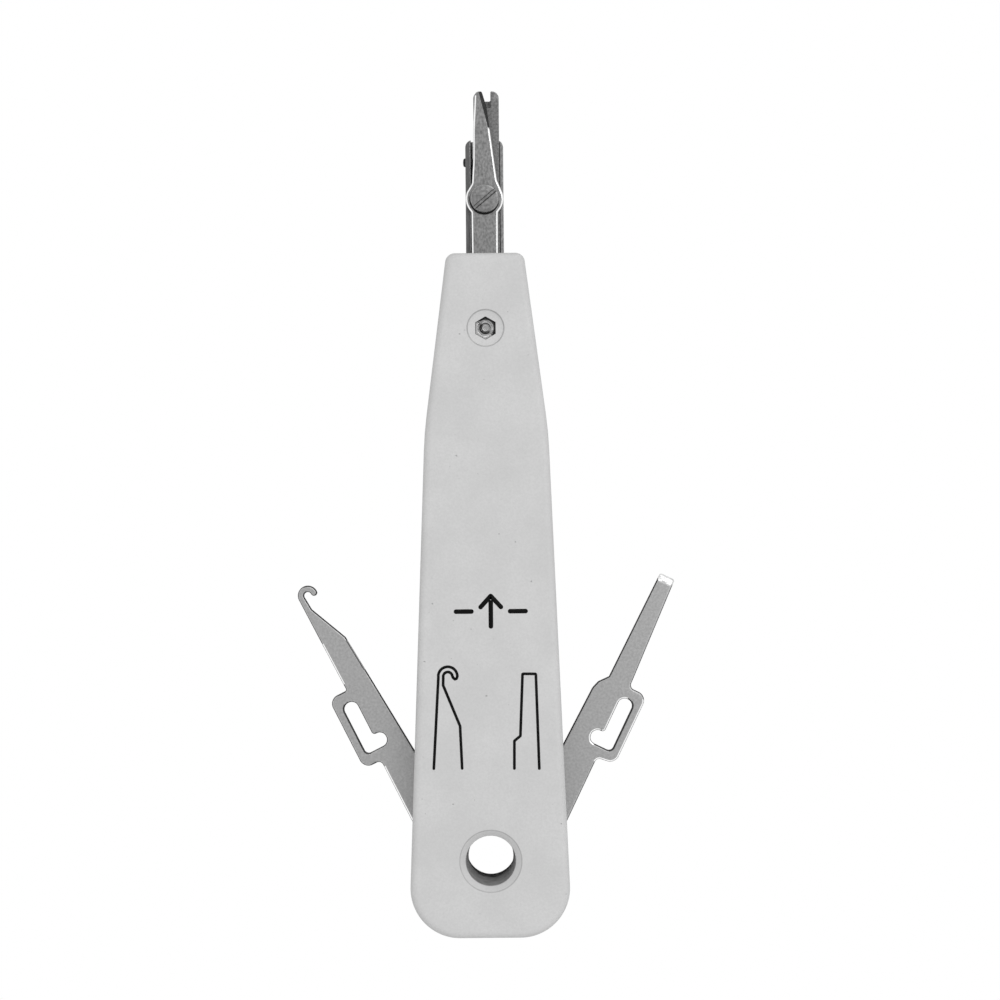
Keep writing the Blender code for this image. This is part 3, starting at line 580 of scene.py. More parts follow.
def handle_half(name, front):
    """One half of the handle: outer form, hollow, blade slots, ribs and bosses, then its holes."""
    up = 1 if front else -1
    face = FACE if front else 0.0
    rim = MIDDLE + up * SEAM
    slot_edge = MIDDLE + up * BLADE_SLOT / 2
    shell = plate([handle_outline()], 0, FACE, FACE_ROUNDING, 7)

    def slab(x_low, x_high, low, high, first, last):
        near, far = sorted((first, last))
        return box((x_low, low, near), (x_high, high, far))

    def post(x, along, radius, first, last):
        near, far = sorted((first, last))
        return rod(radius, near, far, at(x, along))

    cut(shell, slab(-25, 25, -8, LENGTH + 8, rim, MIDDLE - up * 15))
    near, far = sorted((face - up * WALL, MIDDLE - up * 3))
    cut(shell, plate([handle_outline(WALL)], near, far))
    for side in (-1, 1):
        first, last = sorted((side * 2.6, side * 20))
        cut(shell, slab(first, last, -3, BLADE_SLOT_TOP, slot_edge, MIDDLE - up * 2))
    ribs = [
        post(LANYARD_X, LANYARD_ALONG, 6.2, rim, face - up * 0.5),
        post(0, HANDLE_SCREW.y, 3.7, rim, face - up * 0.5),
        slab(-7.5, 7.5, SPRING_LOW - 4, SPRING_LOW - 1.7, rim, face - up),
    ]
    pivot_end = MIDDLE + 1.45 if front else slot_edge
    for pivot in (PIVOTS["hook_swing"], PIVOTS["spudger_swing"]):
        ribs.append(post(pivot.x, pivot.y, 3.4, pivot_end, face - up * 0.5))
    if front:
        ribs.append(post(0, CLAMP.y, 3.6, 14.2, face - 0.5))
        ribs.append(post(CAM_PIN.x, CAM_PIN.y, 2.2, 13.4, face - 0.5))
        for x in (-4.5, 3.5):
            ribs.append(slab(x, x + 1, SPRING_LOW + 0.6, CHANNEL_LOW + 6.4, 11.5, face - 1))
    else:
        ribs.append(post(0, CLAMP.y, 2.9, CHANNEL_BACK - 0.25, 0.5))
        ribs.append(slab(-2.4, 2.4, CLAMP.y + 5.3, LENGTH - 0.9, CHANNEL_BACK - 0.25, 1))
        for x in (-5.4, 4.3):
            ribs.append(slab(x, x + 1.1, SPRING_LOW - 0.9, LENGTH - 0.9, rim, 1))
    use(shell, "UNION", *ribs)

    # The mouth that the channel slides in, with the lead-in that the mould leaves round it
    cut(shell, box((-4.35, LENGTH - 3, CHANNEL_BACK - 0.3), (4.35, LENGTH + 2, 13.3)))
    bevel = [(7.5, 1.0), (6.8, 0.02), (6.54, -0.02), (6.42, -0.08), (6.3, -0.18), (5.3, -0.86)]
    bevel += [(5.22, -0.95), (5.18, -1.1)]
    if front:
        profile = [(0, face + 1)] + [(radius, face + z) for radius, z in bevel]
        profile += [(LANYARD_BORE, MIDDLE - 1), (0, MIDDLE - 1)]
    else:
        profile = [(0, MIDDLE + 1), (LANYARD_BORE, MIDDLE + 1)]
        profile += [(radius, -z) for radius, z in reversed(bevel)] + [(0, -1)]
    cut(shell, turned(profile, at(LANYARD_X, LANYARD_ALONG), 96))
    for pivot in (PIVOTS["hook_swing"], PIVOTS["spudger_swing"]):
        cut(shell, post(pivot.x, pivot.y, PIVOT_HOLE, MIDDLE, face - up * 2.8))
    if front:
        dish = [(4.3, 1.0), (4.0, 0.02), (3.86, -0.04), (3.78, -0.14), (3.68, -0.3), (3.5, -0.38)]
        profile = [(0, face + 1)] + [(radius, face + z) for radius, z in dish] + [(0, face - 0.38)]
        cut(
            shell,
            turned(profile, at(0, CLAMP.y), 96),
            plate([hexagon(NUT_POCKET, 0.12)], 18.6, 23, place=at(0, CLAMP.y)),
            post(0, CLAMP.y, CLAMP_BORE, 12, 20),
            post(CAM_PIN.x, CAM_PIN.y, 1.1, 10, face - 1.2),
            post(0, HANDLE_SCREW.y, 1.4, MIDDLE - 1, 17.5),
        )
    else:
        recesses = ((CLAMP.y, 2.2, 2.3, CLAMP_BORE), (HANDLE_SCREW.y, 2.9, 3.2, 1.6))
        for along, head, depth, shank in recesses:
            lip = [(head + 0.5, -1), (head + 0.3, -0.02), (head + 0.1, 0.08), (head, 0.3), (head, depth)]
            profile = [(0, MIDDLE + 1), (shank, MIDDLE + 1), (shank, depth)] + lip[::-1] + [(0, -1)]
            cut(shell, turned(profile, at(0, along, 0, 3)))
    node = "front_shell" if front else "back_shell"
    # The second to fourth finishes are painted shade for the bore of the hole and the rims
    piece = finished(shell, name, [PLASTIC, SHADED_BORE_ABS, DEEPER_SHADED_BORE_ABS, SHADED_RIM_ABS], "handle", [node], "handle_plastic")
    hole = Vector((LANYARD_X * MM, LANYARD_ALONG * MM + BUTT, 0))
    pocket = Vector((0, CLAMP.y * MM + BUTT, 0))

    def in_bore(middle, normal):
        return (middle - hole).xy.length < 5.12 * MM and abs(normal.z) < 0.5

    def on_rim(middle, normal):
        around = 6.2 * MM < (middle - hole).xy.length < 6.5 * MM
        step = 3.6 * MM < (middle - pocket).xy.length < 4.02 * MM and middle.z > MIDDLE * MM
        return (around or step) and 0.3 < abs(normal.z) < FLAT

    # Painted shade: the hole's bore darker, darkest in the back half, and the rims round the hole and the
    # nut's dish a little darker
    give(piece, 1 if front else 2, in_bore)
    give(piece, 3, on_rim)
    return piece


handle_half("handle_front_half", True)
handle_half("handle_back_half", False)


# Swinging blades


def ear_slot(out):
    """The L-shaped slot in a blade's ear, with its foot reaching in under the blade's edge."""
    right = out - 1.9
    left = right - 3.0
    foot = right - 5.3
    low = 20.7
    high = 32.1
    corners = [
        (right, low, 1.0),
        (right, high, 1.45),
        (left, high, 1.45),
        (left, low + 3.0, 0.7),
        (foot, low + 3.0, 1.45),
        (foot, low, 1.45),
    ]
    return rounded(corners)


def hook_outline():
    """The hook, pointing up, with its ear to the right of the pivot."""
    curl = (1.9, 56.05)
    corners = [(4.05, -4.1, 4.0), (4.05, 16.8, 0), (4.05, 18.2, 1.0), (8.0, 18.2, 2.0), (8.0, 34.6, 2.0)]
    corners += [(3.75, 34.6, 0.4), (3.77, 36.0, 0), (3.9, 45.6, 0)]
    corners += sharp(arc(curl, 2.12, 0, 180))
    corners += sharp(arc((0.45, 56.05), 0.7, 202.5, 337.5, 15))
    corners += sharp(arc(curl, 0.75, 180, 0, 12))
    corners += [(2.45, 53.1, 0.5), (-1.2, 44.7, 0.3), (-1.25, 44.0, 0), (-1.78, 36.8, 0)]
    corners += [(-4.4, 1.0, 6.0), (-4.4, -4.1, 4.0)]
    return rounded(corners)


def spudger_outline():
    """The spudger, pointing up, with its ear to the right of the pivot."""
    corners = [
        (4.1, -4.1, 4.0),
        (4.1, 18.2, 1.0),
        (8.1, 18.7, 2.0),
        (8.1, 34.5, 2.0),
        (4.0, 34.5, 1.0),
        (2.9, 59.1, 0.5),
        (-0.5, 59.1, 0.5),
        (-0.95, 34.8, 0.4),
        (-2.55, 32.9, 0.8),
        (-3.1, 31.2, 2.0),
        (-4.2, 1.0, 6.0),
        (-4.2, -4.1, 4.0),
    ]
    return rounded(corners)


def tip_slope(along):
    """The height of the spudger's wedge over its middle plane."""
    return HALF_BLADE - TIP_GRIND_FALL * (along - TIP_GRIND_START)


def swinging_blade(name, outlines, joint, lean, highlight_stretches, inner_light_stretches, *tools):
    """A swinging blade, its rims painted dark as painted shade, with a painted highlight on the outer rim
    and a painted bright line on the inner rim over stretches of its length.
    """
    pivot = PIVOTS[joint]
    blade = plate(outlines, -HALF_BLADE, HALF_BLADE, 0.48, 6)
    if tools:
        cut(blade, *tools)
    place = at(pivot.x, pivot.y, pivot.z, lean)
    body = name.split("_")[0]
    node = body + "_blade"
    finishes = [BLANKED, POLISH_AND_HIGHLIGHT, PAINTED_SHADE_STEEL, SHARPENED, PAINTED_LIGHT_STEEL]
    piece = finished(blade, name, finishes, body, [node], "swing_blade_steel", crease=40, place=place)
    away = place.to_3x3() @ Vector((math.copysign(1.0, pivot.x), 0, 0))
    ahead = place.to_3x3() @ Vector((0, 1, 0))
    root = Vector((pivot.x * MM, pivot.y * MM + BUTT, 0))

    def along_of(middle):
        return (middle - root).dot(ahead) / MM

    def within(middle, stretches):
        return any(first < along_of(middle) < last for first, last in stretches)

    def is_painted_highlight(middle, normal):
        rim = 0.6 < abs(normal.z) < FLAT and normal.dot(away) > 0.02
        return rim and within(middle, highlight_stretches)

    def is_inner_painted(middle, normal):
        return abs(normal.z) < FLAT and normal.dot(away) < 0 and within(middle, inner_light_stretches)

    def in_slot(middle, normal):
        rim = abs(normal.z) < FLAT and normal.dot(away) < -0.15
        return rim and (middle - root).dot(away) > 4.2 * MM

    def is_ground(middle, normal):
        along = along_of(middle)
        return normal.z > 0.75 and middle.z / MM - pivot.z < tip_slope(along) - 0.02 and along > 57

    # Painted shade: every steep rim face is painted dark, standing in for the dark reflections on the edges
    give(piece, 2, lambda middle, normal: abs(normal.z) < (0.72 if normal.dot(away) > 0 else 0.9))
    # Painted highlight on the outer rim over the given stretches, and painted shade on the inner rims of the
    # ear slot
    give(piece, 1, is_painted_highlight)
    give(piece, 2, in_slot)
    # The inner rim over its stretches: painted shade, with a painted bright line on its steepest faces
    give(piece, 2, is_inner_painted)
    give(piece, 4, lambda middle, normal: is_inner_painted(middle, normal) and abs(normal.z) < 0.82)
    if tools:
        give(piece, 3, is_ground)
    return piece


def ground_strip(left, right, start, end, depth):
    """A strip of the spudger's wedge, ground `depth` below its slope, for cutting."""
    low_end = tip_slope(start) - depth
    high_end = tip_slope(end) - depth
    ramp = [(left, start, low_end), (right, start + 0.05, low_end)]
    ramp += [(right, end, high_end), (left, end, high_end)]
    return prism(ramp, [(x, y, 3) for x, y, z in ramp])


swinging_blade(
    "hook_flat",
    [mirrored(hook_outline()), mirrored(ear_slot(8.0)), circle(PIVOT_HOLE)],
    "hook_swing",
    HOOK_LEAN,
    [(8.0, 16.8), (36.0, 45.6)],
    [(36.8, 44.0)],
)
tip_grinds = [ground_strip(-3, 6, TIP_GRIND_START, 61, 0)]
tip_grinds.append(ground_strip(-0.2, 0.5, 57.5, 58.8, 0.05))
tip_grinds.append(ground_strip(0.45, 1.4, 57.85, 58.75, 0.06))
tip_grinds.append(ground_strip(1.35, 2.6, 57.6, 58.8, 0.05))
swinging_blade(
    "spudger_flat",
    [spudger_outline(), ear_slot(8.1), circle(PIVOT_HOLE)],
    "spudger_swing",
    SPUDGER_LEAN,
    [(15.0, 33.5)],
    [],
    *tip_grinds,
)


# Head


def channel():
    """The folded channel: a U section with round bends, its far end's corners rounded off."""
    low, high = cad("slide_channel")
    half = high.x
    wall = 0.79
    floor = low.z + 1.0
    section = [
        (-half, low.z, 1.1),
        (half, low.z, 1.1),
        (half, CHANNEL_FRONT, 0.2),
        (half - wall, CHANNEL_FRONT, 0.2),
        (half - wall, floor, 0.3),
        (wall + 0.36 - half, floor, 0.3),
        (wall + 0.36 - half, CHANNEL_FRONT, 0.2),
        (-half, CHANNEL_FRONT, 0.2),
    ]
    body = plate([rounded(section, 12)], -high.y, -low.y, place=UPRIGHT)
    ends = [(-5, low.y - 1, 0), (5, low.y - 1, 0)]
    ends += [(half, high.y - 1.6, 0)] + sharp(arc((half - 1.6, high.y - 1.6), 1.6, 0, 90))
    ends += sharp(arc((1.6 - half, high.y - 1.6), 1.6, 90, 180)) + [(-half, high.y - 1.6, 0)]
    silhouette = rounded([(x if abs(x) < half else x * 1.2, y, r) for x, y, r in ends])
    use(body, "INTERSECT", plate([silhouette], 0, 20))
    use(body, "UNION", box((-2.9, low.y, floor - 0.5), (2.9, low.y + 1.3, high.z)))
    slot = [(1.8, CLAMP.y - 1.9, 1.78), (1.8, CLAMP.y + 6.9, 1.78)]
    slot += [(-1.8, CLAMP.y + 6.9, 1.78), (-1.8, CLAMP.y - 1.9, 1.78)]
    cut(body, plate([rounded(slot)], low.z - 3, low.z + 3))
    cut(body, rod(1.3, -3, 3, Matrix.Translation((0, low.y, MIDDLE)) @ UPRIGHT))
    cut(body, rod(CROSS_BORE, -8, 8, ACROSS))
    cut(body, rod(1.5, 5, 9, at(0, CUTTER.y)))
    finishes = [ROLLED, GROUND, PAINTED_LIGHT_STEEL]
    piece = finished(body, "folded_channel", finishes, "head", ["slide_channel"], "channel_steel")
    # The right flange was ground flush with the blade
    give(piece, 1, lambda middle, normal: middle.x > 3.0 * MM and normal.z > 0.5)
    # The left flange's inner wall and the floor inside, where shade falls, are painted brighter: painted
    # light
    give(piece, 2, lambda middle, normal: middle.x < -1.5 * MM and normal.x > 0.3)
    give(piece, 2, lambda middle, normal: abs(middle.x) < 3.2 * MM and normal.z > 0.5)
    return piece


channel()


def tip_plate(name, node, notch_bottom):
    """One plate of the laminated tip, its notch open to the tip and its edges broken."""
    low, high = cad(node)
    corners = [
        (low.x, low.y, 0.3),
        (high.x, low.y, 0.3),
        (high.x, high.y, 1.5),
        (1.4, high.y, 0.25),
        (1.4, notch_bottom, 0.3),
        (-0.4, notch_bottom, 0.3),
        (-0.4, high.y, 0.25),
        (low.x, high.y, 1.5),
    ]
    outlines = [rounded(corners), circle(1.5, (0, CUTTER.y))]
    body = plate(outlines, low.z, high.z, 0.12, 2)
    cut(body, rod(CROSS_BORE, -8, 8, ACROSS))
    return finished(body, name, [HARDENED], "head", [node], "blade_steel", crease=40)


tip_plate("tip_push_plate", "push_plate", 174.7)
tip_plate("tip_insertion_blade", "insertion_blade", 173.1)


def cutter_outline():
    """The scissor blade about its pivot, with its tail going down into the handle."""
    corners = [(-2.7, -20.6, 0.6), (2.7, -20.6, 0.6), (2.78, -2.9, 0)]
    corners += sharp(arc((0, 0), 3.95, -42, 24))
    corners += [
        (2.62, 3.9, 1.5),
        (1.15, 14.9, 4.0),
        (0.55, 19.4, 2.0),
        (-0.4, 22.5, 0.5),
        (-1.85, 22.5, 0.9),
        (-2.27, 14.4, 20.0),
        (-2.35, 7.5, 10.0),
        (-2.62, 3.2, 1.2),
    ]
    corners += sharp(arc((0, 0), 3.95, 158, 222))
    corners.append((-2.78, -2.9, 0))
    return rounded(corners)


def cam_slot():
    """The slot that the fixed cam pin runs in while the head goes in and the scissor turns."""
    radius = 1.1
    path = []
    for i in range(9):
        travel = HEAD_TRAVEL * i / 8
        turn = math.radians(SCISSOR_TURN * travel / HEAD_TRAVEL)
        down = CUTTER.y - travel - CAM_PIN.y
        x = CAM_PIN.x * math.cos(turn) + down * math.sin(turn)
        path.append(Vector((x, CAM_PIN.x * math.sin(turn) - down * math.cos(turn))))
    along = [(path[min(i + 1, 8)] - path[max(i - 1, 0)]).normalized() for i in range(9)]
    sides = [(p, Vector((d.y, -d.x)) * radius) for p, d in zip(path, along)]
    top = math.degrees(math.atan2(along[-1].y, along[-1].x))
    bottom = math.degrees(math.atan2(along[0].y, along[0].x))
    outline = [tuple(p + side) for p, side in sides]
    outline += arc(path[-1], radius, top - 90, top + 90, 10)[1:-1]
    outline += [tuple(p - side) for p, side in reversed(sides)]
    return outline + arc(path[0], radius, bottom + 90, bottom + 270, 10)[1:-1]


def is_bevel(middle):
    """Whether a place on the scissor is on its bevel, right of the line the bevel was ground to."""
    along = (middle.y - BUTT) / MM - CUTTER.y
    share = (along - BEVEL_START[1]) / (BEVEL_END[1] - BEVEL_START[1])
    line = BEVEL_START[0] + (BEVEL_END[0] - BEVEL_START[0]) * share
    return along > BEVEL_START[1] and middle.x / MM > line - 0.02


def scissor():
    low, high = cad("cutter_blade")
    blade = plate([cutter_outline(), circle(2.0), cam_slot()], low.z, high.z, 0.48, 5)
    # The bevel of the cutting edge, ground away to the right of a line up the blade
    start = Vector((BEVEL_START[0], BEVEL_START[1], high.z))
    end = Vector((BEVEL_END[0], BEVEL_END[1], high.z))
    fall = Vector((3.0, 0.7, -3.2))
    up = Vector((0, 0, 2))
    lower = [start, start + fall, end + fall, end]
    upper = [start + up, start + Vector((3, 0.7, 2)), end + Vector((3, 0.7, 2)), end + up]
    cut(blade, prism(lower, upper))
    # A shallow recess round the screw's head, a little off its centre, leaves a crescent in the blade below
    # it
    cut(blade, rod(3.1, high.z - 0.6, high.z + 1, at(-0.08, -0.3), 72))
    finishes = [GROUND, POLISH_AND_HIGHLIGHT, BEVEL_PAINTED_SHADE]
    given = ("scissor_flat", finishes, "cutter", ["cutter_blade"], "blade_steel")
    piece = finished(blade, *given, crease=40, place=at(0, CUTTER.y))
    tip = (CUTTER.y + 21.0) * MM + BUTT
    give(piece, 1, lambda middle, normal: 0.3 < normal.z < 0.97 and middle.y < tip)
    # The bevel is painted dark: a painted dark reflection
    give(piece, 2, lambda middle, normal: normal.z < 0.97 and is_bevel(middle))
    # The crescent's floor is painted dark: a painted shadow of the screw's head
    crescent_floor = (high.z - 0.3) * MM
    centre = Vector((0, CUTTER.y * MM + BUTT, 0))
    give(piece, 2, lambda middle, normal: middle.z < crescent_floor and (middle - centre).xy.length < 3.5 * MM)
    return piece


scissor()


# Fasteners


def upright_nut(name, node, body, across_flats, bore):
    """A hex nut with both faces chamfered round and a countersunk bore."""
    low, high = cad(node)
    centre = middle_of(node)
    outer = across_flats / math.sqrt(3)
    nut = plate([hexagon(across_flats, 0.08)], low.z, high.z, place=at(0, centre.y))
    flat_face = across_flats * 0.42
    crown = [(0, high.z + 1), (flat_face, high.z + 1), (flat_face, high.z)]
    crown += [(outer + 0.05, high.z - outer * 0.2), (outer + 0.05, low.z + outer * 0.2)]
    crown += [(flat_face, low.z), (flat_face, low.z - 1), (0, low.z - 1)]
    use(nut, "INTERSECT", turned(crown, at(0, centre.y), 96))
    hole = [(0, high.z + 1), (bore + 0.35, high.z + 1), (bore + 0.35, high.z + 0.1), (bore, high.z - 0.25)]
    hole += [(bore, low.z + 0.25), (bore + 0.35, low.z - 0.1), (bore + 0.35, low.z - 1), (0, low.z - 1)]
    cut(nut, turned(hole, at(0, centre.y), 48))
    finishes = [SCRATCHED_ZINC, POLISH_AND_HIGHLIGHT, PAINTED_SHADE_STEEL]
    piece = finished(nut, name, finishes, body, [node], "plated_fastener", crease=25)
    # Painted highlight on the chamfers facing lower left, and painted shade on those facing upper right
    give(piece, 1, lambda middle, normal: 0.2 < normal.z < 0.97 and normal.x + normal.y < -0.1)
    give(piece, 2, lambda middle, normal: 0.2 < normal.z < 0.97 and normal.x + normal.y > 0.1)
    return piece


upright_nut("clamp_hex_nut", "clamp_nut", "handle", 4.0, 1.06)
upright_nut("scissor_hex_nut", "cutter_nut", "head", 5.0, 1.48)


def cross_recess(along, z, reach):
    """A four-winged recess that narrows with depth, for a screw head that faces back."""
    wings = []
    for turn in (45, 135):
        lower = [(-reach, -0.28), (reach, -0.28), (reach, 0.28), (-reach, 0.28)]
        upper = [(x * 0.45, y * 0.6) for x, y in lower]
        wing = prism([(x, y, z - 0.4) for x, y in lower], [(x, y, z + reach * 0.75) for x, y in upper])
        wing.data.transform(at(0, along, 0, turn))
        wings.append(wing)
    return wings


def clamp_screw():
    low, high = cad("clamp_screw")
    top = high.z
    profile = [(0, top - 0.28), (0.35, top - 0.22), (0.52, top - 0.03), (0.6, top), (0.68, top)]
    profile += [(0.95, top - 0.3), (0.95, low.z + 1.35), (1.82, low.z + 1.35), (1.9, low.z + 1.27)]
    profile += [(1.9, low.z + 0.55), (1.8, low.z + 0.3), (1.5, low.z + 0.08), (1.1, low.z), (0, low.z)]
    screw = turned(profile, at(0, CLAMP.y))
    cut(screw, *cross_recess(CLAMP.y, low.z, 1.15))
    return finished(screw, "clamp_machine_screw", [ZINC], "handle", ["clamp_screw"], "plated_fastener")


def handle_screw():
    low, high = cad("handle_screw")
    along = HANDLE_SCREW.y
    profile = [(0, high.z), (0.15, high.z), (0.5, high.z - 0.4), (1.1, high.z - 2.0), (1.1, low.z + 1.8)]
    profile += [(2.5, low.z + 1.8), (2.6, low.z + 1.7), (2.6, low.z + 0.9), (2.45, low.z + 0.45)]
    profile += [(2.0, low.z + 0.12), (1.5, low.z), (0, low.z)]
    screw = turned(profile, at(0, along))
    cut(screw, *cross_recess(along, low.z, 1.6))
    return finished(screw, "handle_pan_screw", [ZINC], "handle", ["handle_screw"], "plated_fastener")


def scissor_screw():
    """The slotted screw that the scissor turns on, its low head edge rolled over."""
    low, high = cad("cutter_screw")
    top = high.z
    seat = cad("cutter_blade")[1].z + 0.1
    profile = [(0, top), (2.6, top), (2.78, top - 0.04), (2.9, top - 0.12), (2.97, top - 0.22)]
    profile += [(3.0, top - 0.35), (3.0, seat), (1.9, seat), (1.9, CHANNEL_FRONT + 0.1)]
    profile += [(1.4, CHANNEL_FRONT + 0.1), (1.4, low.z + 0.3), (1.1, low.z), (0, low.z)]
    screw = turned(profile, at(0, CUTTER.y), 96)
    lower = [(-4, -0.3), (4, -0.3), (4, 0.16), (-4, 0.16)]
    upper = [(-4, -0.85), (4, -0.85), (4, 0.4), (-4, 0.4)]
    slot = prism([(x, y, top - 0.5) for x, y in lower], [(x, y, top + 0.5) for x, y in upper])
    slot.data.transform(at(0, CUTTER.y, 0, 40))
    cut(screw, slot)
    return finished(screw, "scissor_slotted_screw", [FACED], "head", ["cutter_screw"], "plated_fastener")


def cross_rivet():
    low, high = cad("cross_pin")
    radius = (high.z - low.z) / 2
    length = high.x - low.x
    profile = [(0, length / 2), (radius * 0.8, length / 2), (radius, length / 2 - 0.2)]
    profile += [(radius, 0.35 - length / 2), (radius * 0.85, 0.14 - length / 2)]
    profile += [(radius * 0.5, 0.03 - length / 2), (0, -length / 2)]
    pin = turned(profile, ACROSS, 48)
    return finished(pin, "cross_rivet", [RIVET_STEEL_AND_SHADE], "head", ["cross_pin"], "plated_fastener")


clamp_screw()
handle_screw()
scissor_screw()
cross_rivet()


# Geometry Nodes: the spring and the screw thread are one wire wound to a rule, the marks are drawn lines


def group_inputs(tree, *sockets):
    """Gives a tree its named inputs and returns their outputs on the Group Input node, by name."""
    for name, kind in sockets:
        tree.interface.new_socket(name, in_out="INPUT", socket_type="NodeSocket" + kind)
    tree.interface.new_socket("Geometry", in_out="OUTPUT", socket_type="NodeSocketGeometry")
    return add(tree, "NodeGroupInput").outputs


def coil_tree():
    """A wire wound about Z from z = 0 to Height, its end turns closed over a share of the length."""
    tree = bpy.data.node_groups.new("wound_wire", "GeometryNodeTree")
    given = group_inputs(
        tree,
        ("Geometry", "Geometry"),
        ("Coil Radius", "Float"),
        ("Wire Radius", "Float"),
        ("Height", "Float"),
        ("Turns", "Float"),
        ("Closed Share", "Float"),
        ("Steps", "Int"),
        ("Wire Sides", "Int"),
        ("Finish", "Material"),
    )

    def maths(operation, first, second=0.0):
        return add(tree, "ShaderNodeMath", {0: first, 1: second}, operation=operation).outputs[0]

    def ramp(low, high, end):
        return spread(tree, share, low, high, 0.0, end)

    line = add(tree, "GeometryNodeCurvePrimitiveLine").outputs["Curve"]
    points = add(tree, "GeometryNodeResampleCurve", {"Curve": line, "Count": given["Steps"]})
    share = add(tree, "GeometryNodeSplineParameter").outputs["Factor"]
    wire = given["Wire Radius"]
    closed = given["Closed Share"]
    opened = maths("SUBTRACT", 1.0, closed)
    two_wires = maths("MULTIPLY", wire, 2.0)
    free = maths("SUBTRACT", given["Height"], maths("MULTIPLY", wire, 6.0))
    rise = maths("ADD", ramp(closed, opened, free), ramp(0.0, closed, two_wires))
    rise = maths("ADD", maths("ADD", rise, ramp(opened, 1.0, two_wires)), wire)
    angle = maths("MULTIPLY", maths("MULTIPLY", share, given["Turns"]), 2 * math.pi)
    x = maths("MULTIPLY", maths("COSINE", angle), given["Coil Radius"])
    y = maths("MULTIPLY", maths("SINE", angle), given["Coil Radius"])
    spot = add(tree, "ShaderNodeCombineXYZ", {"X": x, "Y": y, "Z": rise}).outputs["Vector"]
    path = add(tree, "GeometryNodeSetPosition", {"Geometry": points.outputs["Curve"], "Position": spot})
    around = {"Radius": wire, "Resolution": given["Wire Sides"]}
    section = add(tree, "GeometryNodeCurvePrimitiveCircle", around).outputs["Curve"]
    swept = {"Curve": path.outputs["Geometry"], "Profile Curve": section, "Fill Caps": True}
    wound = add(tree, "GeometryNodeCurveToMesh", swept).outputs["Mesh"]
    smooth = add(tree, "GeometryNodeSetShadeSmooth", {"Geometry": wound}).outputs["Geometry"]
    real = add(tree, "GeometryNodeRealizeInstances", {"Geometry": smooth}).outputs["Geometry"]
    coated = {"Geometry": real, "Material": given["Finish"]}
    done = add(tree, "GeometryNodeSetMaterial", coated).outputs["Geometry"]
    add(tree, "NodeGroupOutput", {"Geometry": done})
    return tree


def ink_tree():
    """Flat printed lines with round ends and joins, from the edges of a mesh of corner points."""
    tree = bpy.data.node_groups.new("printed_lines", "GeometryNodeTree")
    given = group_inputs(
        tree,
        ("Geometry", "Geometry"),
        ("Line Width", "Float"),
        ("Ink Thickness", "Float"),
        ("Corner Radius", "Float"),
        ("Finish", "Material"),
    )
    curve = add(tree, "GeometryNodeMeshToCurve", {"Mesh": given["Geometry"]}).outputs["Curve"]
    soft = {"Curve": curve, "Radius": given["Corner Radius"], "Limit Radius": True, "Count": 6}
    line = add(tree, "GeometryNodeFilletCurve", soft, mode="POLY").outputs["Curve"]
    flat = add(tree, "GeometryNodeSetCurveNormal", {"Curve": line}, mode="Z_UP").outputs["Curve"]
    stroke = {"Width": given["Line Width"], "Height": given["Ink Thickness"]}
    section = add(tree, "GeometryNodeCurvePrimitiveQuadrilateral", stroke).outputs["Curve"]
    swept = {"Curve": flat, "Profile Curve": section, "Fill Caps": True}
    band = add(tree, "GeometryNodeCurveToMesh", swept).outputs["Mesh"]
    half = add(tree, "ShaderNodeMath", {0: given["Line Width"], 1: 0.5}, operation="MULTIPLY")
    lower = add(tree, "ShaderNodeMath", {0: given["Ink Thickness"], 1: 0.96}, operation="MULTIPLY")
    disc = {"Vertices": 24, "Radius": half.outputs[0], "Depth": lower.outputs[0]}
    dot = add(tree, "GeometryNodeMeshCylinder", disc).outputs["Mesh"]
    ends = add(tree, "GeometryNodeCurveEndpointSelection").outputs["Selection"]
    spots = {"Points": line, "Selection": ends, "Instance": dot}
    dots = add(tree, "GeometryNodeInstanceOnPoints", spots).outputs["Instances"]
    joined = add(tree, "GeometryNodeJoinGeometry")
    tree.links.new(band, joined.inputs["Geometry"])
    tree.links.new(dots, joined.inputs["Geometry"])
    real = add(tree, "GeometryNodeRealizeInstances", {"Geometry": joined.outputs["Geometry"]})
    coated = {"Geometry": real.outputs["Geometry"], "Material": given["Finish"]}
    done = add(tree, "GeometryNodeSetMaterial", coated).outputs["Geometry"]
    add(tree, "NodeGroupOutput", {"Geometry": done})
    return tree


def grown(name, tree, mesh, place, values, body, replaced):
    """Runs a tree on a mesh with its named values, and keeps the result as a plain mesh piece."""
    seed = bpy.data.objects.new(name + "_seed", mesh)
    nodes = seed.modifiers.new("grow", "NODES")
    nodes.node_group = tree
    for item in tree.interface.items_tree:
        if item.in_out == "INPUT" and item.name in values:
            nodes[item.identifier] = values[item.name]
    WORKSHOP.objects.link(seed)
    result = baked(seed)
    result.transform(TO_FRAME @ place)
    shape = bmesh.new()
    shape.from_mesh(result)
    bmesh.ops.recalc_face_normals(shape, faces=shape.faces)
    shape.to_mesh(result)
    shape.free()
    piece = in_scene(name, result)
    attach(piece, body)
    if replaced:
        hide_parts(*replaced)
    return piece


WOUND_WIRE = coil_tree()
PRINTED_LINES = ink_tree()


def main_spring():
    low, high = cad("main_spring")
    values = {
        "Coil Radius": 2.6,
        "Wire Radius": 0.4,
        "Height": high.y - low.y,
        "Turns": 8.0,
        "Closed Share": 0.125,
        "Steps": 8 * 32 + 1,
        "Wire Sides": 14,
        "Finish": WIRE,
    }
    place = Matrix.Translation((0, high.y, MIDDLE)) @ UPRIGHT
    empty = bpy.data.meshes.new("spring_seed")
    spring = grown(
        "wound_spring", WOUND_WIRE, empty, place, values, "handle", ["main_spring"]
    )
    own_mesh(spring)


